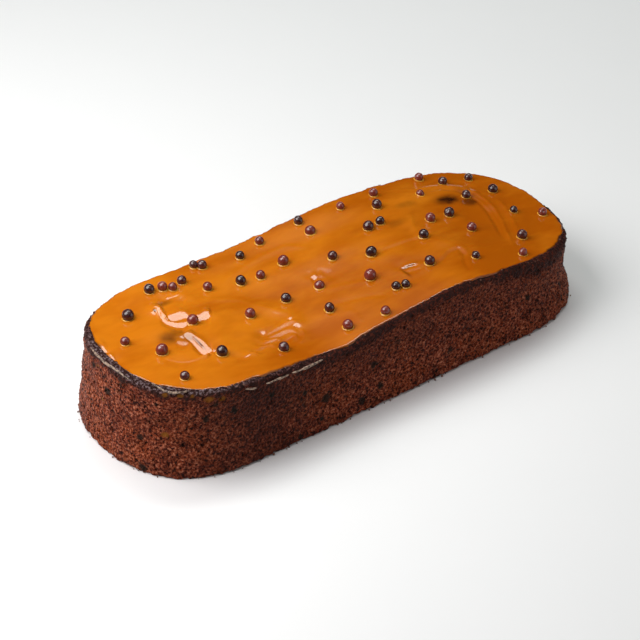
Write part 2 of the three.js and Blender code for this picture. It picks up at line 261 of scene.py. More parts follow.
# Date pieces that show at the side: x, y, z and radius.
DATE_PIECES = (
    (-145.7, -1, 35.7, 2.4), (-142.7, -25.4, 20.4, 2.4), (-143.6, -28.9, 3, 2.6),
    (-112.8, -49.6, 42.5, 1.8), (-118.1, -48.1, 35, 2.0), (-144.4, -11.9, 46, 1.4),
    (-137.3, -32.3, 43.5, 1.2), (-103.2, -51.8, 36.2, 2.2), (-58.9, -52.9, 27.4, 1.8),
    (-45.8, -53.8, 18.7, 2.8), (-49.4, -55.4, 8.2, 1.8), (-23.1, -55.7, 6.8, 2.8),
    (-80.2, -52.9, 35.9, 1.8), (-13.9, -53.2, 25.3, 2.4), (-10.8, -55, 11.9, 2.4),
    (-26.3, -50.5, 44.2, 1.5), (-64.1, -56.1, 3, 1.8), (36.8, -55.1, 13.8, 2.0),
    (92, -53, 24, 1.6), (121, -46, 16, 2.0),
)
# Ochre smears of caramel on the side: x, y, z and radius.
SMEARS = (
    (-134.1, -35.8, 50, 1.6), (-128.5, -41, 50, 1.8), (-123.5, -44.2, 49.5, 1.3),
    (-116.2, -48.4, 47.1, 2.6), (-109.6, -50.3, 45.3, 2.4), (-135.2, -36.8, 25.6, 2.2),
    (-146.2, 2.4, 28.8, 1.6), (-145.3, 8, 46, 1.2),
)
# Stretches of the thin pale lip of dried glaze at the shoulder: x, y and z of its points.
LIPS = (
    ((-142.3, 17, 50.8), (-143.3, 11, 51.0), (-143.8, 3, 51.2), (-143.5, -2.8, 51.4),
     (-142.8, -8.5, 51.5), (-142.5, -13.8, 51.4), (-142, -17.5, 51.2)),
    ((-135.2, -26.1, 52.0), (-134.5, -30.3, 51.8), (-133.2, -34.5, 51.2), (-131.1, -37.5, 51.0),
     (-127.9, -39.9, 51.1), (-123.2, -41.8, 51.3)),
    ((-97, -52, 46.6), (-93, -52.2, 45.4), (-90, -52.4, 44.4)),
    ((-84.5, -52.3, 44.3), (-77.3, -52.2, 43.8), (-70, -52.2, 43.5)),
    ((-68, -52.2, 43.6), (-63.2, -52.2, 43.1), (-56.7, -52, 42.7), (-47.5, -51.4, 42.4)),
)
LIP_STAND = 0.85  # how far the lip stands off the smooth side
LIP_LIFT = 0.8  # how far it is lifted, as a share of that
LIP_WANDER = (0.7, 3.0, 101)
LIP_STEP = 0.7
LIP_TAPER = 0.35
LIP_THIN, LIP_THICKER = 0.3, 0.55  # least radius, and what noise adds
LIP_NOISE_SIZE = 2.2

# Spots on the side. An edge is where a spot starts to fade and where it ends, in its radii or,
# for scattered dates, in spacings, and it is ragged by noise of one size.
RAGGED_SIZE = 1.6
SPOT_EDGE, SPOT_RAGGED = (0.7, 1.1), 0.5
DATE_EDGE, DATE_RAGGED = (0.12, 0.2), 0.1
DATE_SPACING = 11.0
DATE_SHARE = 0.2  # of the lattice's cells that hold a date
SMEAR_STRENGTH = 0.9
SMEAR_STRETCH = 1.6

# Crumb. Noise is given as rise, size and seed.
BEND_SIZE = 2.4  # of the noise that bends the places of grains and pores
GRAIN_BEND, PORE_BEND = 0.8, 2.2
PORE_SPACING = 2.3
PORE_EDGE, PORE_FLOOR = 0.42, 0.16  # from a pore's middle, in spacings
OPEN_PORES = 0.26  # share of the pores that is open
OPEN_PORES_CRUST = 0.16  # what the crust takes off that share
CRAGS = ((0.9, 5.5, 31), (0.5, 1.3, 41))
CRAGS_CRUST = 0.3  # what the crust takes off them
FOOT_CRAGS = (1.6, 2.6, 91)
FOOT_CRAGS_TOP = 3.0
# How far down the side the crust reaches: at the high end, and its changes along x.
CRUST_REACH = 2.5
CRUST_REACH_CHANGES = ((6, -95, -50), (-4, -30, 0), (5, 45, 85))  # gain, start and end
CRUST_RAGGED = (4.0, 4.0, 51)
CRUST_EDGE = (-1.0, -0.15)  # where the crust starts and where it is full, in reaches
# Parts of the near side that are painted darker, as painted shade.
PAINTED_SHADE_HEIGHTS = (-36, -6)  # from the shoulder
PAINTED_SHADE_START = (-110, -70)
PAINTED_SHADE_HIGH = 0.42
PAINTED_SHADE_CORNER = Bell(-86, 38, 1.0)
PAINTED_SHADE_CORNER_LOW, PAINTED_SHADE_CORNER_GAIN = 0.6, 0.3  # low on the side, and what it gains high up
# Dried glaze, whose sheen is painted as pale speckles: where along -X, how far in from the
# shoulder, and which way the outline faces.
GLAZE_SHEEN_ALONG = (30, 100)
GLAZE_SHEEN_INSET = (0.0, 1.2)
GLAZE_SHEEN_FACING = (0.2, 0.9)
GLAZE_SHEEN_TO_NEAR = 0.6  # how far it prefers the near side to the end
# Under the caramel the crumb is flatter and lies lower, from its edge in.
UNDER_START = (-1.0, 0.2)
UNDER_FLAT = 0.8
UNDER_SUNK = 0.35
RECESS_START = (-0.3, 0.8)
RECESS_SUNK = 0.6

# Loose crumbs.
FOOT_SHARE = 0.6  # of all loose crumbs
CRUMB_LEAST = 0.3  # of the largest one's size
CRUMB_RIM_INSETS = (0.2, 0.9)  # in rim widths
CRUMB_FOOT_OUT = (-0.3, 1.0)
CRUMB_REST = 0.42  # how high a crumb's middle lies on the ground, in its own sizes
CRUMB_ON_RIM = 0.2  # and how high on the rim
CRUMB_FINENESS = 1.8
CRUMB_STEP = 5.1  # moves each crumb to another part of the noise
CRUMB_DENTS = (0.6, 0.8)  # the smallest radius, and what noise adds

# ---------------------------------------------------------------- steps of the surfaces

OUTLINE_STEPS = 1120
SIDE_ROWS = 70
CRUST_ROWS = 10
CRUST_LAP = 1.4  # how far the crust runs on under the caramel
CARAMEL_STEPS = 1000
CARAMEL_ROWS = 90
CARAMEL_LAP = 0.9  # how far the caramel reaches into the crust
PEARL_RINGS = 15
PEARL_SIDES = 24
COLLAR_SIDES = 32
LIP_SIDES = 8
CRUMB_RINGS = 5
CRUMB_SIDES = 6
FINE_STEPS = 8001  # of the outline that even steps are taken from
CARAMEL_BUNCHING = 1.15  # more brings the caramel's rows closer together at its edge
WELD = 1e-6  # metres
FAR_OFF = 1e9
UP = np.array((0, 0, 1))


# ---------------------------------------------------------------- settings in the sidebar

def length(name, description, millimetres):
    """A length setting whose default is in millimetres."""
    return FloatProperty(name=name, description=description, default=millimetres * MM,
                         unit="LENGTH", precision=4)


def factor(name, description, value):
    """A setting between 0 and 1."""
    return FloatProperty(name=name, description=description, default=value, min=0, max=1,
                         subtype="FACTOR")


def colour(name, description, *rgb):
    """A colour setting, in linear light."""
    return FloatVectorProperty(name=name, description=description, default=(*rgb, 1), size=4,
                               min=0, max=1, subtype="COLOR")


def angle(name, description, degrees):
    """An angle setting whose default is in degrees."""
    return FloatProperty(name=name, description=description, default=math.radians(degrees),
                         subtype="ANGLE")


def power(name, description, watts):
    """The power of a light."""
    return FloatProperty(name=name, description=description, default=watts, min=0, unit="POWER")


class DATECAKE_PG_loaf(bpy.types.PropertyGroup):
    """Sizes of the loaf."""
    half_length: length("Half length", "From the middle to an end, at the shoulder", 145)
    half_width: length("Half width", "From the middle to a long side, at the shoulder", 52.2)
    end_length: length("End length", "Length of each rounded end", 55.7)
    left_height: length("Height at the high end", "Height of the top at the -X end", 52.8)
    right_height: length("Height at the low end", "Height of the top at the +X end", 38.6)
    base_flare: length("Foot flare", "How far the foot stands out past the shoulder", 4.3)
    rim_even: length("Rim width", "Usual width of the bare crust round the caramel", 2.2)
    rim_near: length("Near rim", "Gain on the near side, and loss on the far one", 1.1)
    rim_left: length("High-end rim", "What the rim gains at the high end", 3.0)
    recess_depth: length("Caramel depth", "Depth of the recess that the caramel fills", 4.1)


class DATECAKE_PG_crumb(bpy.types.PropertyGroup):
    """Texture and colours of the sponge."""
    grain_size: length("Grain size", "Spacing of the crumb's grains", 1.6)
    grain_rise: length("Grain rise", "Height of the crumb's grains", 1.0)
    pore_depth: length("Pore depth", "Depth of the open pores", 1.0)
    crumb: colour("Crumb", "Usual colour of the crumb", 0.315, 0.051, 0.0185)
    # Painted highlights on the tops of the grains.
    crumb_highlight: colour("Light crumb", "Tops of the crumb's grains", 0.800, 0.310, 0.175)
    crumb_warm: colour("Warm crumb", "Warmer patches of the crumb", 0.360, 0.062, 0.014)
    crumb_dark: colour("Dark crumb", "Darker zones of the crumb", 0.150, 0.023, 0.009)
    # Painted shade, near black, in the pores and the gaps between grains.
    hollow: colour("Hollows", "Bottom of the pores and gaps", 0.008, 0.002, 0.0015)
    crust: colour("Crust", "Browned crust round the top", 0.030, 0.010, 0.008)
    # Pale speckles of painted sheen on the dried glaze.
    glaze_sheen: colour("Glaze", "Dried glaze on the crust at the high end", 0.270, 0.210, 0.225)
    date: colour("Date", "Pieces of date", 0.010, 0.009, 0.006)
    smear: colour("Smear", "Caramel smeared on the side", 0.270, 0.095, 0.008)
    lip: colour("Lip", "Thin pale lip at the shoulder", 0.400, 0.270, 0.190)


class DATECAKE_PG_caramel(bpy.types.PropertyGroup):
    """Colours of the caramel."""
    thick: colour("Caramel", "Caramel at the high end, where it is palest", 0.600, 0.168, 0.0055)
    deep: colour("Deep caramel", "Caramel at the low end", 0.425, 0.092, 0.0014)
    # Also the colour of the painted shade in the caramel's slits.
    show_through_and_shade: colour("Show-through", "Crumb seen through thin caramel", 0.035, 0.008, 0.002)


class DATECAKE_PG_pearls(bpy.types.PropertyGroup):
    """Colours and shape of the chocolate pearls."""
    dark: colour("Dark chocolate", "Colour of the dark pearls", 0.034, 0.0095, 0.010)
    copper: colour("Copper brown", "Colour of the copper-brown pearls", 0.210, 0.033, 0.022)
    unevenness: factor("Unevenness", "How far a pearl departs from a ball", 0.05)
    collar_rise: length("Collar rise", "How far the caramel climbs up a pearl", 0.42)
    collar_width: length("Collar width", "Width of that climb", 0.6)


class DATECAKE_PG_crumbs(bpy.types.PropertyGroup):
    """The loose crumbs."""
    count: IntProperty(name="Crumbs", description="Number of loose crumbs", default=110, min=0)
    largest: length("Largest crumb", "Diameter of the largest loose crumb", 1.7)


class DATECAKE_PG_stage(bpy.types.PropertyGroup):
    """Camera, lights and floor."""
    azimuth: angle("Camera azimuth", "Turn of the camera round the cake", -38.51)
    elevation: angle("Camera elevation", "Camera above the horizon", 36.45)
    roll: angle("Camera roll", "Turn of the camera about its own axis", 1.48)
    distance: length("Camera distance", "From the origin along the viewing axis", 1502.7)
    side_step: length("Camera side step", "Camera's shift to its right", -6.13)
    up_step: length("Camera up step", "Camera's shift to its top", 13.42)
    lens: FloatProperty(name="Lens", description="Focal length in mm on a 36 mm sensor",
                        default=156.24)
    key: power("Key light", "Soft box at the high end", 4.1)
    window: power("Window light", "Small soft box high behind the far side", 14.5)
    skirt: power("Window skirt", "Dim strip below the small soft box", 0.65)
    fill: power("Fill light", "Wide soft light on the near side", 5.6)
    ceiling: factor("Ceiling", "Brightness of the studio's ceiling", 0.35)
    walls: factor("Walls", "Brightness of the studio's dark walls", 0.01)
    floor: colour("Floor", "Colour of the floor", 0.87, 0.85, 0.85)


GROUPS = {
    "date_cake_loaf": DATECAKE_PG_loaf,
    "date_cake_crumb": DATECAKE_PG_crumb,
    "date_cake_caramel": DATECAKE_PG_caramel,
    "date_cake_pearls": DATECAKE_PG_pearls,
    "date_cake_crumbs": DATECAKE_PG_crumbs,
    "date_cake_stage": DATECAKE_PG_stage,
}


# ---------------------------------------------------------------- noise

# A well-known way to scramble whole numbers: large primes, then two multiplied shifts.
HASH_STEPS = np.array((73856093, 19349663, 83492791), np.int64)
HASH_SEED_STEP = 374761393
HASH_MIX = np.uint32(0x45D9F3B)
HASH_SHIFT = 16
HASH_RANGE = 2.0 ** 32


def hashed(cells, seed):
    """An even random number from 0 to 1 for each whole-number cell, the same on every run."""
    number = (cells @ HASH_STEPS + seed * HASH_SEED_STEP).astype(np.uint32)
    for _ in range(2):
        number = (number ^ (number >> HASH_SHIFT)) * HASH_MIX
    return (number ^ (number >> HASH_SHIFT)) / HASH_RANGE


def soft_noise(points, size, seed):
    """Smooth noise from 0 to 1: random lattice corners, blended by the curve 3t^2 - 2t^3."""
    place = points / size
    low = np.floor(place).astype(np.int64)
    part = place - low
    part = part * part * (3 - 2 * part)
    total = np.zeros(points.shape[:-1])
    for corner in itertools.product((0, 1), repeat=3):
        weight = np.prod(np.where(np.array(corner, bool), part, 1 - part), axis=-1)
        total += weight * hashed(low + np.array(corner), seed)
    return total


def uneven(points, rise, size, seed):
    """Smooth noise about 0, from half the rise below it to half the rise above it."""
    return rise * (soft_noise(points, size, seed) - 0.5)


def cell_noise(points, size, seed):
    """Distance to the nearest of the random points, one in each cell, and that point's own number.

    The distance is in cell sizes.
    """
    place = points / size
    low = np.floor(place).astype(np.int64)
    nearest = np.full(points.shape[:-1], FAR_OFF)
    owner = np.zeros(points.shape[:-1])
    for step in itertools.product((-1, 0, 1), repeat=3):
        cell = low + np.array(step)
        spot = cell + np.stack([hashed(cell, seed + axis) for axis in range(3)], axis=-1)
        away = np.linalg.norm(place - spot, axis=-1)
        closer = away < nearest
        nearest = np.where(closer, away, nearest)
        owner = np.where(closer, hashed(cell, seed + 3), owner)
    return nearest, owner


def ease(value, low, high):
    """0 below low, 1 above high, and the curve 3t^2 - 2t^3 between them."""
    part = np.clip((value - low) / (high - low), 0, 1)
    return part * part * (3 - 2 * part)


# ---------------------------------------------------------------- smooth form of the loaf

Outline = namedtuple("Outline", "x y nx ny")
Lap = namedtuple("Lap", "steepness across along half base")


def bell(x, bump):
    """The rise of a bump along x, times exp of minus the squared distance in spreads."""
    return bump.rise * np.exp(-(((x - bump.x) / bump.spread) ** 2))


def phase(x, y, wave, z=0):
    """How far a wave has turned: a radian for each of its lengths along x and y, and z's turn."""
    return x / wave.x_length + y / wave.y_length + wave.z_turn * z


class Loaf:
    """The loaf's smooth form in millimetres, from the sizes in the sidebar."""

    def __init__(self, sizes):
        """Takes over the sizes, and finds each lap's level from the caramel spread below it."""
        for name in DATECAKE_PG_loaf.__annotations__:
            setattr(self, name, getattr(sizes, name) / MM)
        self.straight_half = self.half_length - self.end_length
        self.laps = []
        for steepness, points in LAPS:
            x, y, half = np.array(points, float).T
            self.laps.append(Lap(steepness, x * AWAY[1] - y * AWAY[0], x * AWAY[0] + y * AWAY[1],
                                 half, self.spread_caramel(x, y)))

    def top_height(self, x, y):
        """A straight fall along the loaf, a dome, and bumps that grow to one long side."""
        along = 0.5 + x / (2 * self.half_length)
        far = 0.5 + y / (2 * self.half_width)
        fall = self.left_height + (self.right_height - self.left_height) * along
        far_side = bell(x, FAR_RISE) + bell(x, FAR_FALL)
        return fall + bell(x, DOME) + bell(x, NEAR_DIP) * (1 - far) + far_side * far

    def outline(self, count):
        """Even places round the shoulder, anticlockwise from +X, with their outward normals.

        Each end is half a superellipse, |x/a|^n + |y/b|^n = 1, and straight sides join the ends.
        Even steps come from the running length along a much finer outline.
        """
        turn = np.linspace(-0.5, 1.5, FINE_STEPS) * np.pi
        cos = np.cos(turn)
        sin = np.sin(turn)
        a, b, n = self.end_length, self.half_width, END_FULLNESS
        radius = ((np.abs(cos) / a) ** n + (np.abs(sin) / b) ** n) ** (-1 / n)
        x = cos * radius
        y = sin * radius
        normal = np.stack([np.sign(x) * np.abs(x) ** (n - 1) / a ** n,
                           np.sign(y) * np.abs(y) ** (n - 1) / b ** n])
        normal /= np.linalg.norm(normal, axis=0)
        x = x + np.where(turn < 0.5 * np.pi, 1, -1) * self.straight_half
        line = np.stack([x, y, *normal])
        line = np.concatenate([line, line[:, :1]], axis=1)
        run = np.concatenate([[0], np.cumsum(np.hypot(*np.diff(line[:2], axis=1)))])
        tip = np.interp(0, turn, run[:-1])
        wanted = (tip + run[-1] * np.arange(count) / count) % run[-1]
        places = np.stack([np.interp(wanted, run, row) for row in line])
        places[2:] /= np.linalg.norm(places[2:], axis=0)
        return Outline(*places)

    def rim_width(self, line):
        """Width of the bare crust, wider on the near side and at the high end, with a wander."""
        mean = self.rim_even - self.rim_near * line.ny + self.rim_left * np.minimum(0, line.nx) ** 2
        wander = sum(bell(line.x, part) for part in RIM_WANDER) * np.maximum(0, -line.ny)
        wave = RIM_WAVE_RISE * np.sin(phase(line.x, line.y, RIM_WAVE))
        return np.maximum(RIM_LEAST, mean + wander + wave)

    def spine_x(self, line):
        """Where on the middle line a place's row ends: straight in, and bunched up at the ends."""
        beyond = np.maximum(0, np.abs(line.x) - self.straight_half)
        reach = np.abs(line.x) - beyond + beyond / self.end_length * SPINE_REACH
        return np.sign(line.x) * reach

    def side_offset(self, line, level):
        """How far the side stands outside the shoulder: a flared foot less a hollow half way up."""
        pinch = SIDE_PINCH + END_PINCH * np.maximum(0, line.nx)
        hollow = pinch * np.exp(-(((level - PINCH_LEVEL) / PINCH_SPREAD) ** 2))
        foot = FOOT_ROUNDING * np.maximum(0, 1 - level / FOOT_LEVEL) ** 2
        return self.base_flare * (1 - level) ** FLARE_POWER - hollow - foot

    def side_lumps(self, line, level, z):
        """Low lumps of the baked side, from two crossed slow waves and a quick one."""
        along, across, quick = (phase(line.x, line.y, wave, z) for wave in SIDE_WAVES)
        slow = np.sin(along) * np.cos(across)
        lumps = SIDE_UNEVENNESS * (SLOW_SHARE * slow + (1 - SLOW_SHARE) * np.sin(quick))
        return lumps * np.sin(np.pi * np.minimum(level, LUMPS_LEVEL))

    def crust_height(self, x, y, inset):
        """The top, rounded down near the shoulder by the square of the distance that is left."""
        return self.top_height(x, y) - SHOULDER_DROP * np.maximum(0, 1 - inset / SHOULDER_RUN) ** 2

    def recess_floor(self, x, y):
        """The floor of the recess that the caramel fills, an even depth below the top."""
        return self.top_height(x, y) - self.recess_depth

    def spread_caramel(self, x, y):
        """The caramel before its laps: the top, slow waves and lumps, spatula rings and ridges."""
        height = self.top_height(x, y) - CARAMEL_LEVEL
        swell = np.sin(phase(x, y, SWELL_ALONG)) * np.cos(phase(x, y, SWELL_ACROSS))
        height = height + SWELL * swell
        for lump in LUMPS:
            height = height + uneven(grid_from(x / LUMP_STRETCH, y, 0.0), *lump)
        for arc_x, arc_y, radius, width, rise in SPATULA_ARCS:
            away = np.hypot(x - arc_x, y - arc_y) - radius
            height = height + rise * np.exp(-((away / width) ** 2))
        for rise, width, points in RIDGES:
            height = height + ridge_height(x, y, rise, width, points)
        return height

    def caramel_height(self, x, y):
        """The caramel's surface: each place goes from the spread caramel to the nearest lap's face.

        Faces that meet are averaged with the inverse third power of the distance to their bands.
        """
        spread = self.spread_caramel(x, y)
        faces = np.zeros_like(spread)
        shares = np.zeros_like(spread)
        cover = np.zeros_like(spread)
        for lap in self.laps:
            face, beside = lap_face(x, y, lap)
            share = 1 / (beside + LAP_SEAM) ** 3
            faces += share * face
            shares += share
            cover = np.maximum(cover, np.exp(-((beside / LAP_FADE) ** 2)))
        height = spread + cover * (faces / shares - spread)
        for rise, width, points in SLITS:
            height = height + ridge_height(x, y, rise, width, points)
        return height


def lap_face(x, y, lap):
    """Height of a lap's face, and the distance to its band.

    The face climbs evenly across the band from the level of the spread caramel there. Its level
    follows part of the middle line's wander, so that it keeps its lean at a bend.
    """
    across = x * AWAY[1] - y * AWAY[0]
    half = np.interp(across, lap.across, lap.half)
    middle = np.interp(across, lap.across, lap.along)
    inside = x * AWAY[0] + y * AWAY[1] - middle
    level = (1 - LAP_FOLLOW) * (middle - lap.along.mean())
    face = np.interp(across, lap.across, lap.base)
    face = face + lap.steepness * (np.clip(inside, -half, half) + level)
    past_end = np.maximum(lap.across[0] - across, across - lap.across[-1])
    return face, np.hypot(np.maximum(0, np.abs(inside) - half), np.maximum(0, past_end))


def distance_to_line(x, y, points):
    """Distance from each place to a bent line, and the share of the line's length there."""
    points = np.array(points, float)
    nearest = np.full(np.shape(x), FAR_OFF)
    share = np.zeros(np.shape(x))
    steps = np.hypot(*np.diff(points, axis=0).T)
    before = np.concatenate([[0], np.cumsum(steps)])
    for start, end, step, run in zip(points[:-1], points[1:], steps, before):
        way = (end - start) / step
        along = np.clip((x - start[0]) * way[0] + (y - start[1]) * way[1], 0, step)
        away = np.hypot(x - start[0] - along * way[0], y - start[1] - along * way[1])
        closer = away < nearest
        nearest = np.where(closer, away, nearest)
        share = np.where(closer, (run + along) / before[-1], share)
    return nearest, share


def ridge_height(x, y, rise, width, points):
    """A bell across the distance to a bent line, which dies away at both ends of the line."""
    away, share = distance_to_line(x, y, points)
    ends = ease(share, 0, RIDGE_END) * ease(1 - share, 0, RIDGE_END)
    return rise * ends * np.exp(-((away / width) ** 2))


# ---------------------------------------------------------------- meshes from arrays

def ring_quads(rows, count):
    """Quads between rows of points, where each row closes on itself."""
    row, place = np.meshgrid(np.arange(rows - 1), np.arange(count), indexing="ij")
    first = row * count + place
    second = row * count + (place + 1) % count
    return np.stack([first, second, second + count, first + count], axis=-1).reshape(-1, 4)


def repeated(quads, points_each, copies):
    """The same quads for each of several copies that lie one after the other."""
    steps = np.arange(copies)[:, None, None] * points_each
    return (quads[None] + steps).reshape(-1, 4)


def add_mesh(name, points, quads, marks=None):
    """A closed, smooth mesh object at the origin, from points in millimetres.

    Points that coincide are welded, so that rows close on the middle line and at the poles.
    """
    mesh = bpy.data.meshes.new(name)
    mesh.vertices.add(len(points))
    mesh.vertices.foreach_set("co", (points * MM).astype(np.float32).ravel())
    mesh.loops.add(quads.size)
    mesh.loops.foreach_set("vertex_index", quads.astype(np.int32).ravel())
    mesh.polygons.add(len(quads))
    mesh.polygons.foreach_set("loop_start", np.arange(0, quads.size, 4, dtype=np.int32))
    mesh.update(calc_edges=True)
    for mark, values in (marks or {}).items():
        attribute = mesh.attributes.new(mark, "FLOAT", "POINT")
        attribute.data.foreach_set("value", np.asarray(values, np.float32).ravel())
    work = bmesh.new()
    work.from_mesh(mesh)
    bmesh.ops.remove_doubles(work, verts=work.verts, dist=WELD)
    bmesh.ops.recalc_face_normals(work, faces=work.faces)
    work.to_mesh(mesh)
    work.free()
    mesh.shade_smooth()
    piece = bpy.data.objects.new(name, mesh)
    bpy.context.scene.collection.objects.link(piece)
    return piece


def facing(grid):
    """Unit normals of a grid of rows that close on themselves, from neighbouring points."""
    along = np.roll(grid, -1, axis=1) - np.roll(grid, 1, axis=1)
    up = np.gradient(grid, axis=0)
    normal = np.cross(along, up)
    return normal / np.maximum(np.linalg.norm(normal, axis=-1, keepdims=True), 1 / FAR_OFF)


def grid_from(x, y, z):
    """Rows of points from three arrays that fit each other's shape."""
    return np.stack(np.broadcast_arrays(x, y, z), axis=-1).astype(float)


# ---------------------------------------------------------------- shader helpers

SPATULA_TURN = math.radians(38)
PAPER_SHADE = (0.7, 0.7, 0.7, 1)
# Sockets of the Mix node, which has a pair and a result for each kind of value.
MIX_FACTOR = 0
FIRST_NUMBER, SECOND_NUMBER, MIXED_NUMBER = 2, 3, 0
FIRST_COLOUR, SECOND_COLOUR, MIXED_COLOUR = 6, 7, 2


def add_node(tree, kind, inputs=None, **settings):
    """A node with its settings. An input is a value or another node's output."""
    node = tree.nodes.new(kind)
    for name, value in settings.items():
        setattr(node, name, value)
    for name, value in (inputs or {}).items():
        if isinstance(value, bpy.types.NodeSocket):
            tree.links.new(value, node.inputs[name])
        else:
            node.inputs[name].default_value = value
    return node


class Finish:
    """A material under construction: its nodes and its Principled shader."""

    def __init__(self, name, **shader_values):
        self.material = bpy.data.materials.new(name)
        self.material.use_nodes = True
        self.tree = self.material.node_tree
        self.shader = self.tree.nodes["Principled BSDF"]
        self.place = self.add("ShaderNodeTexCoord").outputs["Object"]
        for socket, value in shader_values.items():
            self.shader.inputs[socket.replace("_", " ")].default_value = value

    def add(self, kind, inputs=None, **settings):
        """A node of this material."""
        return add_node(self.tree, kind, inputs, **settings)

    def mark(self, name):
        """The value of one of the mesh's own marks."""
        return self.add("ShaderNodeAttribute", attribute_name=name).outputs["Fac"]

    def noise(self, size_mm, detail=3.0, roughness=0.6):
        """Cloudy noise with features of about that size."""
        return self.clouds(self.place, 1 / (size_mm * MM), detail, roughness)

    def clouds(self, place, scale, detail=3.0, roughness=0.6):
        """Cloudy noise read at a place, so many features to a unit of it."""
        inputs = {"Vector": place, "Scale": scale, "Detail": detail, "Roughness": roughness}
        return self.add("ShaderNodeTexNoise", inputs).outputs["Fac"]

    def streaks(self, length_mm, width_mm):
        """Cloudy noise drawn out the way the spatula went, slantwise over the cake."""
        inputs = {"Vector": self.place, "Rotation": (0, 0, SPATULA_TURN),
                  "Scale": (1 / (length_mm * MM), 1 / (width_mm * MM), 1 / (width_mm * MM))}
        return self.clouds(self.add("ShaderNodeMapping", inputs).outputs[0], 1.0)

    def fit(self, value, low, high, start=0.0, end=1.0):
        """A value moved from one range to another, and held at its ends."""
        inputs = {"Value": value, "From Min": low, "From Max": high, "To Min": start, "To Max": end}
        return self.add("ShaderNodeMapRange", inputs).outputs["Result"]

    def sum(self, *values):
        """Values added up."""
        total = values[0]
        for value in values[1:]:
            total = self.add("ShaderNodeMath", {0: total, 1: value}, operation="ADD").outputs[0]
        return total

    def times(self, first, second):
        """Two values multiplied."""
        return self.add("ShaderNodeMath", {0: first, 1: second}, operation="MULTIPLY").outputs[0]

    def mix(self, share, first, second):
        """A colour between two colours."""
        inputs = {MIX_FACTOR: share, FIRST_COLOUR: first, SECOND_COLOUR: second}
        return self.add("ShaderNodeMix", inputs, data_type="RGBA").outputs[MIXED_COLOUR]

    def bump(self, height, depth_mm, strength=1.0):
        """Small relief in the shading, whose height of 1 is that many millimetres."""
        inputs = {"Height": height, "Distance": depth_mm * MM, "Strength": strength}
        return self.add("ShaderNodeBump", inputs).outputs["Normal"]

    def wire(self, **sockets):
        """Joins outputs to the shader's sockets, and gives the finished material."""
        for name, output in sockets.items():
            self.tree.links.new(output, self.shader.inputs[name.replace("_", " ")])
        return self.material


def sponge_material(look):
    """Reddish crumb with dark gaps, a darker crust, speckled glaze, dates and smears.

    The light tops of the grains are painted highlights; the dark gaps, the pores and parts of the
    near side are painted shade, and the glaze's pale speckles are its painted sheen.
    """
    finish = Finish("date_sponge", IOR=1.45, Specular_IOR_Level=0.1, Roughness=0.45)
    grain = finish.noise(1.35, detail=4, roughness=0.7)
    # Zones of darker crumb, and wide patches of warmer crumb over both.
    zone = finish.fit(finish.noise(7, detail=4, roughness=0.7), 0.36, 0.62)
    crumb = finish.mix(zone, look.crumb_dark, look.crumb)
    warmth = finish.fit(finish.noise(16, detail=2), 0.45, 0.62, 0.0, 0.55)
    crumb = finish.mix(warmth, crumb, look.crumb_warm)
    # Grains with painted highlights on their tops, fewer in darker zones, and painted shade between
    # them.
    lit_tops = finish.times(finish.fit(grain, 0.53, 0.65), finish.fit(zone, 0.0, 1.0, 0.4, 0.95))
    crumb = finish.mix(lit_tops, crumb, look.crumb_highlight)
    crumb = finish.mix(finish.fit(grain, 0.5, 0.42), crumb, look.hollow)
    # The crust, whose grains keep some of the crumb's colour. Its mark also paints the near side's
    # shade.
    crust_tone = finish.fit(grain, 0.5, 0.64, 0.0, 0.5)
    crust_colour = finish.mix(crust_tone, look.crust, look.crumb)
    skin = finish.mix(finish.mark("crust"), crumb, crust_colour)
    # What lies on the grains or between them: glaze with painted sheen, smears, painted shade in
    # pores, dates.
    sheen_speckle = finish.times(finish.mark("glaze_sheen"), finish.fit(grain, 0.5, 0.62))
    skin = finish.mix(sheen_speckle, skin, look.glaze_sheen)
    skin = finish.mix(finish.mark("smear"), skin, look.smear)
    skin = finish.mix(finish.mark("pore"), skin, look.hollow)
    skin = finish.mix(finish.times(finish.mark("fruit"), 0.9), skin, look.date)
    return finish.wire(Base_Color=skin, Normal=finish.bump(grain, 2.0))


def caramel_material(look):
    """Glossy caramel with streaks of deeper tone, and the crumb showing dimly where it is thin.

    The same dark colour paints shade in the slits.
    """
    finish = Finish("caramel", Roughness=0.08, IOR=1.48, Subsurface_Weight=0.15,
                    Subsurface_Radius=(1.0, 0.35, 0.08), Subsurface_Scale=0.002)
    streaks = finish.fit(finish.streaks(38, 15), 0.35, 0.68, -0.35, 0.42)
    depth = finish.sum(finish.mark("depth"), streaks)
    body = finish.mix(depth, look.thick, look.deep)
    body = finish.mix(finish.mark("thin_and_shade"), body, look.show_through_and_shade)
    return finish.wire(Base_Color=body)


def pearl_material(name, tone, shade):
    """Polished chocolate, mottled a little, each pearl a bit lighter or darker than the next."""
    finish = Finish(name, Roughness=0.22, IOR=1.5, Specular_IOR_Level=0.9)
    mottle = finish.fit(finish.noise(1.6, detail=3), 0.35, 0.75, 0.0, 0.35)
    body = finish.mix(finish.sum(mottle, finish.mark("tint")), tone, shade)
    return finish.wire(Base_Color=body, Normal=finish.bump(finish.noise(0.9), 0.05))


def lip_material(look):
    """Thin dried glaze, pale and a little glossy, broken up by the crust."""
    finish = Finish("lip_glaze", IOR=1.45, Roughness=0.35)
    patches = finish.fit(finish.noise(1.5, detail=3), 0.42, 0.62)
    return finish.wire(Base_Color=finish.mix(patches, look.lip, look.crust))


def floor_material(tone):
    """Plain pale paper with the faintest mottle."""
    finish = Finish("floor_paper", Roughness=0.9)
    mottle = finish.fit(finish.noise(40), 0.3, 0.7, 0.0, 0.03)
    return finish.wire(Base_Color=finish.mix(mottle, tone, PAPER_SHADE))


def dress(piece, material, body="root"):
    """Gives a piece its material and lets it ride on the cake's body."""
    piece.data.materials.append(material)
    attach(piece, body)


# ---------------------------------------------------------------- sponge

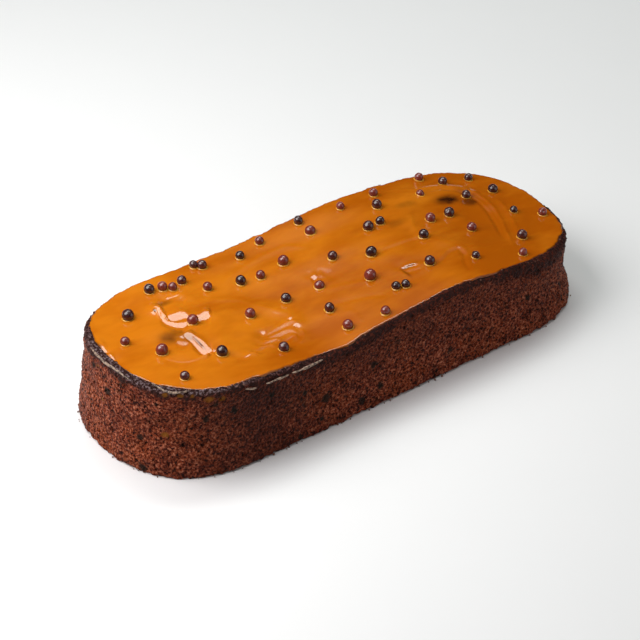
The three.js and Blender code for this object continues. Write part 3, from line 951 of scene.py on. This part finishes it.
def sponge_rows(loaf, line):
    """Smooth rows of the side and the crust, and how far each point lies in from the shoulder.

    A side row is the outline moved out by the side's offset, at a share of the shoulder's height.
    A crust row is the outline moved in, at the height of the crust. A point of the side counts as
    minus its depth below the shoulder.
    """
    level = np.linspace(0, 1, SIDE_ROWS)[:, None]
    shoulder = loaf.crust_height(line.x, line.y, 0.0)
    side_z = level * shoulder
    out = loaf.side_offset(line, level) + loaf.side_lumps(line, level, side_z)
    side = grid_from(line.x + line.nx * out, line.y + line.ny * out, side_z)
    share = np.linspace(0, 1, CRUST_ROWS + 1)[1:, None]
    inset = share * (loaf.rim_width(line) + CRUST_LAP)
    x = line.x - line.nx * inset
    y = line.y - line.ny * inset
    crust = grid_from(x, y, loaf.crust_height(x, y, inset))
    below = np.broadcast_to(side_z - shoulder, side.shape[:2])
    return np.concatenate([side, crust]), np.concatenate([below, inset])


def crumb_relief(points, look, crust):
    """Height of the crumb, and how open each place's pore is, from 0 to 1.

    Grains are domes round scattered points. Pores are sunk round a few of another set of points,
    bent by noise, and slow noise makes the whole uneven. The crust has fewer pores.
    """
    bend = np.stack([soft_noise(points, BEND_SIZE, 21 + axis) for axis in range(3)], axis=-1) - 0.5
    away, _ = cell_noise(points + GRAIN_BEND * bend, look.grain_size / MM, seed=11)
    grains = look.grain_rise / MM * (0.5 - away)
    pore_away, pore_pick = cell_noise(points + PORE_BEND * bend, PORE_SPACING, seed=27)
    open_share = OPEN_PORES - OPEN_PORES_CRUST * crust
    pores = ease(-pore_away, -PORE_EDGE, -PORE_FLOOR) * (pore_pick < open_share)
    crags = sum(uneven(points, *crag) for crag in CRAGS)
    height = grains + crags * (1 - CRAGS_CRUST * crust) - look.pore_depth / MM * pores
    return height, pores


def spots(points, places, seed, stretch=1.0):
    """1 inside any of the places given as x, y, z and radius, with ragged edges."""
    ragged = uneven(points, SPOT_RAGGED, RAGGED_SIZE, seed)
    inside = np.zeros(points.shape[:-1])
    for x, y, z, radius in places:
        offset = points - np.array((x, y, z))
        offset[..., 2] *= stretch
        away = np.linalg.norm(offset, axis=-1) / radius
        inside = np.maximum(inside, 1 - ease(away + ragged, *SPOT_EDGE))
    return inside


def scattered_dates(points, seed):
    """Date pieces all round the side, by a seeded draw of a few cells of a coarse lattice."""
    away, pick = cell_noise(points, DATE_SPACING, seed)
    ragged = uneven(points, DATE_RAGGED, RAGGED_SIZE, seed + 9)
    return (1 - ease(away + ragged, *DATE_EDGE)) * (pick < DATE_SHARE)


def browning_and_shade(smooth, inside, line):
    """How far each place is browned, with painted shade on the near side, from 0 to 1.

    The crust ends below the shoulder at a ragged reach, which changes along the loaf. Parts of the
    near side are painted darker as shade too: its upper part, and a bell along x by the near
    corner.
    """
    reach = CRUST_REACH + sum(gain * ease(line.x, *ends) for gain, *ends in CRUST_REACH_CHANGES)
    crust = ease((inside + uneven(smooth, *CRUST_RAGGED)) / reach, *CRUST_EDGE)
    high = ease(inside, *PAINTED_SHADE_HEIGHTS)
    corner = (PAINTED_SHADE_CORNER_LOW + PAINTED_SHADE_CORNER_GAIN * high) * bell(line.x, PAINTED_SHADE_CORNER)
    painted_shade = np.maximum(PAINTED_SHADE_HIGH * high * ease(line.x, *PAINTED_SHADE_START), corner)
    return np.maximum(crust, painted_shade * np.maximum(0, -line.ny))


def glaze_sheen_share(inside, line):
    """1 on the crust's top at the high end's near corner, where dried glaze lies with painted
    sheen.
    """
    faces = ease(-(line.nx + GLAZE_SHEEN_TO_NEAR * line.ny), *GLAZE_SHEEN_FACING)
    return ease(inside, *GLAZE_SHEEN_INSET) * faces * ease(-line.x, *GLAZE_SHEEN_ALONG)


def roughened(smooth, inside, rim, relief):
    """The smooth rows moved along their normals by the crumb's relief.

    The relief flattens and sinks under the caramel, and the foot is craggy. The lowest row stays
    on the ground.
    """
    under = ease(inside - rim, *UNDER_START)
    sunk = UNDER_SUNK * under + RECESS_SUNK * ease(inside - rim, *RECESS_START)
    foot = 1 - ease(smooth[..., 2], 0.0, FOOT_CRAGS_TOP)
    height = relief * (1 - UNDER_FLAT * under) - sunk + foot * uneven(smooth, *FOOT_CRAGS)
    rough = smooth + facing(smooth) * height[..., None]
    rough[..., 2] = np.maximum(rough[..., 2], 0)
    rough[0, :, 2] = 0
    return rough


class DATECAKE_OT_sponge(bpy.types.Operator):
    """Build the date sponge with its crust"""
    bl_idname = "datecake.sponge"
    bl_label = "Date Sponge"

    def execute(self, context):
        """Rows up the side and over the crust, moved along their normals by the crumb's relief.

        Below the caramel the rows go down to the recess and close on the middle line, and so do
        those of the underside.
        """
        loaf = Loaf(context.scene.date_cake_loaf)
        look = context.scene.date_cake_crumb
        line = loaf.outline(OUTLINE_STEPS)
        smooth, inside = sponge_rows(loaf, line)
        # The crust's mark holds the browned crust and the painted shade of the near side.
        crust = browning_and_shade(smooth, inside, line)
        relief, pores = crumb_relief(smooth, look, crust)
        spine_x = loaf.spine_x(line)
        inner_x, inner_y, _ = smooth[-1].T
        points = np.concatenate([
            grid_from(spine_x, 0.0, 0.0)[None],
            roughened(smooth, inside, loaf.rim_width(line), relief),
            grid_from(inner_x, inner_y, loaf.recess_floor(inner_x, inner_y))[None],
            grid_from(spine_x, 0.0, loaf.recess_floor(spine_x, 0.0))[None],
        ])
        dates = scattered_dates(smooth, seed=71) * (1 - crust)
        marks = {
            "crust": crust,
            "pore": pores,
            "fruit": np.maximum(spots(smooth, DATE_PIECES, seed=61), dates),
            "smear": spots(smooth, SMEARS, seed=81, stretch=SMEAR_STRETCH) * SMEAR_STRENGTH,
            "glaze_sheen": glaze_sheen_share(inside, line),
        }
        marks = {name: np.pad(values, ((1, 2), (0, 0))) for name, values in marks.items()}
        quads = ring_quads(len(points), OUTLINE_STEPS)
        piece = add_mesh("sponge_crumb", points.reshape(-1, 3), quads, marks)
        dress(piece, sponge_material(look))
        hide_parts("sponge")
        return {"FINISHED"}


class DATECAKE_OT_lip(bpy.types.Operator):
    """Build the thin pale lip along the shoulder"""
    bl_idname = "datecake.lip"
    bl_label = "Shoulder Lip"

    def execute(self, context):
        """A small round section carried along each stretch, thinning to nothing at its ends."""
        loaf = Loaf(context.scene.date_cake_loaf)
        turn = np.linspace(0, 2 * np.pi, LIP_SIDES, endpoint=False)
        points = []
        quads = []
        for stretch in LIPS:
            corners = np.array(stretch, float)
            run = np.linalg.norm(np.diff(corners, axis=0), axis=1)
            run = np.concatenate([[0], np.cumsum(run)])
            steps = int(run[-1] / LIP_STEP)
            place = np.linspace(0, run[-1], steps)
            middle = np.stack([np.interp(place, run, column) for column in corners.T], axis=-1)
            outward = middle * (1, 1, 0) - np.sign(middle) * (loaf.straight_half, 0, 0)
            outward /= np.linalg.norm(outward, axis=1, keepdims=True)
            middle += LIP_STAND * (outward + (0, 0, LIP_LIFT))
            middle[:, 2] += uneven(middle, *LIP_WANDER)
            taper = np.sin(np.pi * np.arange(steps) / (steps - 1)) ** LIP_TAPER
            radius = taper * (LIP_THIN + LIP_THICKER * soft_noise(middle, LIP_NOISE_SIZE, seed=102))
            ahead = np.gradient(middle, axis=0)
            ahead /= np.linalg.norm(ahead, axis=1, keepdims=True)
            aside = np.cross(ahead, UP)
            ring = aside[:, None] * np.cos(turn)[:, None] + UP * np.sin(turn)[:, None]
            tube = middle[:, None] + ring * radius[:, None, None]
            quads.append(ring_quads(steps, LIP_SIDES) + sum(len(part) for part in points))
            points.append(tube.reshape(-1, 3))
        piece = add_mesh("shoulder_lip", np.concatenate(points), np.concatenate(quads))
        dress(piece, lip_material(context.scene.date_cake_crumb))
        return {"FINISHED"}


# ---------------------------------------------------------------- caramel

def patch(x, y, place, power):
    """A soft-edged oval patch: its strength times exp of minus a power of the way out of it.

    The place is the patch's x, y, half length, half width and strength.
    """
    middle_x, middle_y, half_length, half_width, strength = place
    away = np.hypot((x - middle_x) / half_length, (y - middle_y) / half_width)
    return strength * np.exp(-away ** power)


def caramel_depth(x, y, below):
    """How deep the caramel's tone is: deeper in hollows and to the low end, and by patches."""
    depth = HOLLOW_DEPTH * ease(below, -HOLLOW_RANGE, HOLLOW_RANGE)
    for gain, start, end in DEPTH_ALONG:
        depth = depth + gain * ease(x, start, end)
    for place in TONES:
        depth = depth + patch(x, y, place, power=2)
    return depth


def caramel_thinness_and_shade(x, y, inward):
    """How far the crumb shows through, in its places and along the very edge, with a mottle.

    Its narrow places along the slits paint shade there.
    """
    thin_and_shade = THIN_EDGE * np.exp(-((inward / THIN_EDGE_WIDTH) ** 2))
    for place in THIN_AND_SHADED_PLACES:
        thin_and_shade = np.maximum(thin_and_shade, patch(x, y, place, power=3))
    rise, size, seed = THIN_MOTTLE
    return thin_and_shade * (THIN_LEAST + rise * soft_noise(grid_from(x, y, 0.0), size, seed))


class DATECAKE_OT_caramel(bpy.types.Operator):
    """Build the caramel layer"""
    bl_idname = "datecake.caramel"
    bl_label = "Caramel"

    def execute(self, context):
        """Rows from its wavy edge, which dips under the crust, to the middle line."""
        loaf = Loaf(context.scene.date_cake_loaf)
        line = loaf.outline(CARAMEL_STEPS)
        edge_place = grid_from(line.x, line.y, 0.0)
        wander = sum(uneven(edge_place, *part) for part in EDGE_WANDER)
        inset = loaf.rim_width(line) + GAP - CARAMEL_LAP + wander
        edge_x = line.x - line.nx * inset
        edge_y = line.y - line.ny * inset
        spine_x = loaf.spine_x(line)
        share = np.linspace(0, 1, CARAMEL_ROWS)[:, None] ** CARAMEL_BUNCHING
        x = edge_x + (spine_x - edge_x) * share
        y = edge_y * (1 - share)
        inward = np.hypot(x - edge_x, y - edge_y)
        z = loaf.caramel_height(x, y) - EDGE_DROP * np.maximum(0, 1 - inward / EDGE_ROUND) ** 2
        top = grid_from(x, y, z)
        base_x = np.stack([spine_x, edge_x])
        base_y = np.stack([np.zeros_like(edge_y), edge_y])
        base = grid_from(base_x, base_y, loaf.recess_floor(base_x, base_y) + GAP)
        points = np.concatenate([base, top])
        below = loaf.top_height(x, y) - CARAMEL_LEVEL - z
        marks = {"depth": caramel_depth(x, y, below), "thin_and_shade": caramel_thinness_and_shade(x, y, inward)}
        marks = {name: np.pad(values, ((2, 0), (0, 0))) for name, values in marks.items()}
        quads = ring_quads(len(points), CARAMEL_STEPS)
        piece = add_mesh("caramel_layer", points.reshape(-1, 3), quads, marks)
        dress(piece, caramel_material(context.scene.date_cake_caramel))
        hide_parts("caramel_topping")
        return {"FINISHED"}


def pearl_table(pearls):
    """Place, diameter, sunk share and hole depth of each pearl, as rows of numbers."""
    return np.array([(*pearl, *(SUNK, NO_HOLE)[len(pearl) - 3:]) for pearl in pearls], float)


def pearl_centres(loaf, table):
    """Middles of the pearls, each sunk in the caramel by its own share."""
    x, y, diameter, sunk, _ = table.T
    return np.stack([x, y, loaf.caramel_height(x, y) + diameter * (0.5 - sunk)], axis=-1)


class DATECAKE_OT_collars(bpy.types.Operator):
    """Build the small climbs of caramel round the pearls"""
    bl_idname = "datecake.collars"
    bl_label = "Caramel Collars"

    def execute(self, context):
        """A closed ring round each pearl, whose top falls off by a power of the way out."""
        loaf = Loaf(context.scene.date_cake_loaf)
        look = context.scene.date_cake_pearls
        table = pearl_table(DARK_PEARLS + COPPER_PEARLS)
        centres = pearl_centres(loaf, table)
        radius = table[:, 2] / 2
        rise = look.collar_rise / MM
        width = look.collar_width / MM
        turn = np.linspace(0, 2 * np.pi, COLLAR_SIDES, endpoint=False)
        above = np.maximum(0, centres[:, 2] - loaf.caramel_height(*table[:, :2].T) - rise)
        inner = np.sqrt(np.maximum(radius ** 2 - above ** 2, COLLAR_LEAST ** 2)) - COLLAR_LAP
        share, lift = np.array(COLLAR_PROFILE).T
        wobble = 1 + COLLAR_WOBBLE * np.sin(turn[None] * 2 + table[:, :1])
        out = inner[:, None, None] + width * share[None, :, None] * wobble[:, None, :]
        x = table[:, 0, None, None] + out * np.cos(turn)
        y = table[:, 1, None, None] + out * np.sin(turn)
        z = loaf.caramel_height(x, y) + rise * lift[None, :, None]
        points = grid_from(x, y, z)
        quads = ring_quads(len(share) + 1, COLLAR_SIDES) % (len(share) * COLLAR_SIDES)
        quads = repeated(quads, len(share) * COLLAR_SIDES, len(table))
        piece = add_mesh("caramel_collars", points.reshape(-1, 3), quads)
        dress(piece, bpy.data.materials["caramel"])
        return {"FINISHED"}


# ---------------------------------------------------------------- pearls and crumbs

def ball_grid(rings, sides):
    """Directions on a ball: rings from pole to pole, each with the same number of sides."""
    tilt = np.linspace(0, np.pi, rings)[:, None]
    turn = np.linspace(0, 2 * np.pi, sides, endpoint=False)
    return grid_from(np.sin(tilt) * np.cos(turn), np.sin(tilt) * np.sin(turn), -np.cos(tilt))


def add_pearls(loaf, look, name, pearls, seed, material):
    """Uneven balls: each is stretched a little and dented by noise, and some have a dimple."""
    table = pearl_table(pearls)
    centres = pearl_centres(loaf, table)
    draw = np.random.default_rng(seed)
    count = len(table)
    directions = ball_grid(PEARL_RINGS, PEARL_SIDES)[None]
    own = DENT_STEP * np.arange(count)[:, None, None, None]
    lumps = uneven(directions * DENT_FINENESS + own, look.unevenness * DENT_RISE, 1.0, seed)
    dimple = draw.normal(size=(count, 3)) + np.array(DIMPLE_LEAN)
    dimple = np.where(table[:, 4:] > 0, HOLE_FACING, dimple)
    dimple /= np.linalg.norm(dimple, axis=1, keepdims=True)
    depth = np.where(draw.random(count) < DIMPLED_SHARE, DIMPLE_DEPTH, 0.0) + table[:, 4]
    facing_dimple = np.einsum("crsk,nk->nrs", directions, dimple)
    dent = depth[:, None, None] * np.exp(-((1 - facing_dimple) / DIMPLE_SPREAD))
    stretch = 1 + look.unevenness * draw.uniform(-1, 1, (count, 1, 1, 3))
    radius = table[:, 2, None, None] / 2 * (1 + lumps - dent)
    points = centres[:, None, None] + directions * radius[..., None] * stretch
    tint = np.broadcast_to(draw.uniform(*TINTS, count)[:, None, None], radius.shape)
    quads = repeated(ring_quads(PEARL_RINGS, PEARL_SIDES), PEARL_RINGS * PEARL_SIDES, count)
    piece = add_mesh(name, points.reshape(-1, 3), quads, {"tint": tint})
    dress(piece, material)
    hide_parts("caramel_topping")


class DATECAKE_OT_pearls(bpy.types.Operator):
    """Build the dark and the copper-brown chocolate pearls"""
    bl_idname = "datecake.pearls"
    bl_label = "Chocolate Pearls"

    def execute(self, context):
        """Dented balls, each sunk in the caramel, in two pieces by colour."""
        loaf = Loaf(context.scene.date_cake_loaf)
        look = context.scene.date_cake_pearls
        dark = pearl_material("dark_chocolate", look.dark, look.copper)
        copper = pearl_material("copper_chocolate", look.copper, look.dark)
        add_pearls(loaf, look, "dark_pearls", DARK_PEARLS, 121, dark)
        add_pearls(loaf, look, "copper_pearls", COPPER_PEARLS, 122, copper)
        return {"FINISHED"}


class DATECAKE_OT_crumbs(bpy.types.Operator):
    """Build the loose crumbs round the foot and on the rim"""
    bl_idname = "datecake.crumbs"
    bl_label = "Loose Crumbs"

    def execute(self, context):
        """Small balls, each strongly dented by noise, more of them at the foot than on the rim."""
        loaf = Loaf(context.scene.date_cake_loaf)
        look = context.scene.date_cake_crumbs
        draw = np.random.default_rng(131)
        line = loaf.outline(OUTLINE_STEPS)
        chosen = draw.integers(0, OUTLINE_STEPS, look.count)
        at_foot = draw.random(look.count) < FOOT_SHARE
        place = Outline(*(values[chosen] for values in line))
        growth = draw.random(look.count) ** 3
        size = look.largest / MM * (CRUMB_LEAST + (1 - CRUMB_LEAST) * growth)
        rim_inset = draw.uniform(*CRUMB_RIM_INSETS, look.count) * loaf.rim_width(place)
        foot_out = loaf.base_flare + draw.uniform(*CRUMB_FOOT_OUT, look.count)
        out = np.where(at_foot, foot_out, -rim_inset)
        x = place.x + place.nx * out
        y = place.y + place.ny * out
        on_rim = loaf.crust_height(x, y, rim_inset) + CRUMB_ON_RIM * size
        z = np.where(at_foot, CRUMB_REST * size, on_rim)
        directions = ball_grid(CRUMB_RINGS, CRUMB_SIDES)[None]
        own = CRUMB_STEP * np.arange(look.count)[:, None, None, None]
        least, more = CRUMB_DENTS
        dents = least + more * soft_noise(directions * CRUMB_FINENESS + own, 1.0, seed=132)
        radius = (size / 2)[:, None, None] * dents
        points = np.stack([x, y, z], axis=-1)[:, None, None] + directions * radius[..., None]
        points[..., 2] = np.maximum(points[..., 2], 0)
        quads = ring_quads(CRUMB_RINGS, CRUMB_SIDES)
        quads = repeated(quads, CRUMB_RINGS * CRUMB_SIDES, look.count)
        piece = add_mesh("loose_crumbs", points.reshape(-1, 3), quads)
        dress(piece, bpy.data.materials["date_sponge"])
        return {"FINISHED"}


# ---------------------------------------------------------------- stage

# Angles in degrees, and distances and sizes of lights in metres.
FLOOR_HALF = 4000.0  # millimetres
FLOOR_DROP = 0.1  # millimetres, keeps the floor just under the foot
SENSOR_WIDTH = 36
CLIP_END = 100
LIGHTS_AIM = Vector((0, 0, 0.045))  # the middle of the cake's top
KEY_AZIMUTH, KEY_ELEVATION = 158, 49
KEY_DISTANCE = 0.6
KEY_SIZE = (0.5, 0.5)
WINDOW_AZIMUTH, WINDOW_ELEVATION = 56, 63.5
WINDOW_DISTANCE = 2.0
WINDOW_SIZE = (1.4, 0.4)
WINDOW_TINT = (0.9, 1.0, 0.97)
SKIRT_ELEVATION = 55.9
SKIRT_SIZE = (1.4, 0.133)
FILL_AZIMUTH, FILL_ELEVATION = -47, 18
FILL_DISTANCE = 2.0
FILL_SIZE = (1.6, 1.2)
WALL_TOP = 0.47  # sine of the elevation where the dark walls start to lighten
CEILING_START = 0.80  # sine of the elevation where the ceiling is at its full brightness
BACKDROP = 0.9


def add_area_light(name, azimuth, elevation, distance, size, watts, tint=(1, 1, 1)):
    """A rectangular soft box at an azimuth and elevation in degrees, facing the cake's top."""
    light = bpy.data.lights.new(name, "AREA")
    light.shape = "RECTANGLE"
    light.size, light.size_y = size
    light.energy = watts
    lamp = bpy.data.objects.new(name, light)
    turn = math.radians(azimuth)
    rise = math.radians(elevation)
    out = Vector((math.cos(turn) * math.cos(rise), math.sin(turn) * math.cos(rise), math.sin(rise)))
    aim = out.to_track_quat("Z", "Y").to_matrix().to_4x4()
    lamp.matrix_world = Matrix.Translation(LIGHTS_AIM + out * distance) @ aim
    light.color = tint
    lamp.visible_camera = False
    bpy.context.scene.collection.objects.link(lamp)


def mix_numbers(tree, share, first, second):
    """A number between two numbers."""
    inputs = {MIX_FACTOR: share, FIRST_NUMBER: first, SECOND_NUMBER: second}
    return add_node(tree, "ShaderNodeMix", inputs).outputs[MIXED_NUMBER]


def studio_world(look):
    """Dark walls that lighten to a pale ceiling, and a pale backdrop where the camera looks."""
    world = bpy.data.worlds.new("studio")
    world.use_nodes = True
    tree = world.node_tree
    way = add_node(tree, "ShaderNodeTexCoord").outputs["Generated"]
    upward = add_node(tree, "ShaderNodeSeparateXYZ", {0: way}).outputs["Z"]
    heights = {"Value": upward, "From Min": WALL_TOP, "From Max": CEILING_START}
    lighten = add_node(tree, "ShaderNodeMapRange", heights, interpolation_type="SMOOTHSTEP")
    powers = {0: lighten.outputs["Result"], 1: 2}
    share = add_node(tree, "ShaderNodeMath", powers, operation="POWER").outputs[0]
    camera_ray = add_node(tree, "ShaderNodeLightPath").outputs["Is Camera Ray"]
    room = mix_numbers(tree, share, look.walls, look.ceiling)
    background = tree.nodes["Background"]
    background.inputs["Color"].default_value = (1, 1, 1, 1)
    tree.links.new(mix_numbers(tree, camera_ray, room, BACKDROP), background.inputs["Strength"])
    return world


def camera_axes(look):
    """Right, up and back of the camera: back from azimuth and elevation, then the roll."""
    turn, rise, roll = look.azimuth, look.elevation, look.roll
    flat = math.cos(rise)
    back = Vector((math.sin(turn) * flat, -math.cos(turn) * flat, math.sin(rise)))
    level = Vector((math.cos(turn), math.sin(turn), 0))
    upright = back.cross(level)
    right = math.cos(roll) * level + math.sin(roll) * upright
    up = math.cos(roll) * upright - math.sin(roll) * level
    return right, up, back


class DATECAKE_OT_stage(bpy.types.Operator):
    """Build the camera, the soft lights and the pale floor"""
    bl_idname = "datecake.stage"
    bl_label = "Stage"

    def execute(self, context):
        """A camera at the photo's viewing angle, four soft boxes, the studio and the floor."""
        look = context.scene.date_cake_stage
        scene = context.scene
        right, up, back = camera_axes(look)
        camera = bpy.data.objects.new("camera", bpy.data.cameras.new("camera"))
        camera.data.lens = look.lens
        camera.data.sensor_width = SENSOR_WIDTH
        camera.data.clip_end = CLIP_END
        place = back * look.distance + right * look.side_step + up * look.up_step
        axes = Matrix((right, up, back)).transposed().to_4x4()
        camera.matrix_world = Matrix.Translation(place) @ axes
        scene.collection.objects.link(camera)
        scene.camera = camera
        add_area_light("key", KEY_AZIMUTH, KEY_ELEVATION, KEY_DISTANCE, KEY_SIZE, look.key)
        add_area_light("window", WINDOW_AZIMUTH, WINDOW_ELEVATION, WINDOW_DISTANCE, WINDOW_SIZE,
                       look.window, WINDOW_TINT)
        add_area_light("skirt", WINDOW_AZIMUTH, SKIRT_ELEVATION, WINDOW_DISTANCE, SKIRT_SIZE,
                       look.skirt)
        add_area_light("fill", FILL_AZIMUTH, FILL_ELEVATION, FILL_DISTANCE, FILL_SIZE, look.fill)
        scene.world = studio_world(look)
        side = np.linspace(-FLOOR_HALF, FLOOR_HALF, 3)
        corner_x, corner_y = np.meshgrid(side, side)
        points = grid_from(corner_x, corner_y, -FLOOR_DROP).reshape(-1, 3)
        first = np.array((0, 1, 3, 4))[:, None]  # the corner of each square of the 3 by 3 points
        floor = add_mesh("floor", points, first + (0, 1, 4, 3))
        floor.data.materials.append(floor_material(look.floor))
        scene.view_settings.view_transform = "Standard"
        return {"FINISHED"}


# ---------------------------------------------------------------- sidebar and running

OPERATORS = (
    DATECAKE_OT_sponge,
    DATECAKE_OT_lip,
    DATECAKE_OT_caramel,
    DATECAKE_OT_collars,
    DATECAKE_OT_pearls,
    DATECAKE_OT_crumbs,
    DATECAKE_OT_stage,
)


class DATECAKE_PT_build(bpy.types.Panel):
    """Lists the cake's pieces and their settings"""
    bl_idname = "DATECAKE_PT_build"
    bl_label = "Date Cream Cake"
    bl_space_type = "VIEW_3D"
    bl_region_type = "UI"
    bl_category = "Date Cake"

    def draw(self, context):
        """A button for each operator, and a box of settings for each group."""
        for operator in OPERATORS:
            self.layout.operator(operator.bl_idname)
        for name, group in GROUPS.items():
            box = self.layout.box()
            box.label(text=group.__doc__)
            for setting in group.__annotations__:
                box.prop(getattr(context.scene, name), setting)


CLASSES = (*GROUPS.values(), *OPERATORS, DATECAKE_PT_build)


def register():
    """Makes the classes known to Blender and hangs the settings on the scene."""
    for cls in CLASSES:
        bpy.utils.register_class(cls)
    for name, group in GROUPS.items():
        setattr(bpy.types.Scene, name, PointerProperty(type=group))


def unregister():
    """Takes the settings and the classes away again."""
    for name in GROUPS:
        delattr(bpy.types.Scene, name)
    for cls in reversed(CLASSES):
        bpy.utils.unregister_class(cls)


def main():
    """Builds every piece in order."""
    register()
    for operator in OPERATORS:
        space, name = operator.bl_idname.split(".")
        getattr(getattr(bpy.ops, space), name)()


if __name__ == "__main__":
    main()
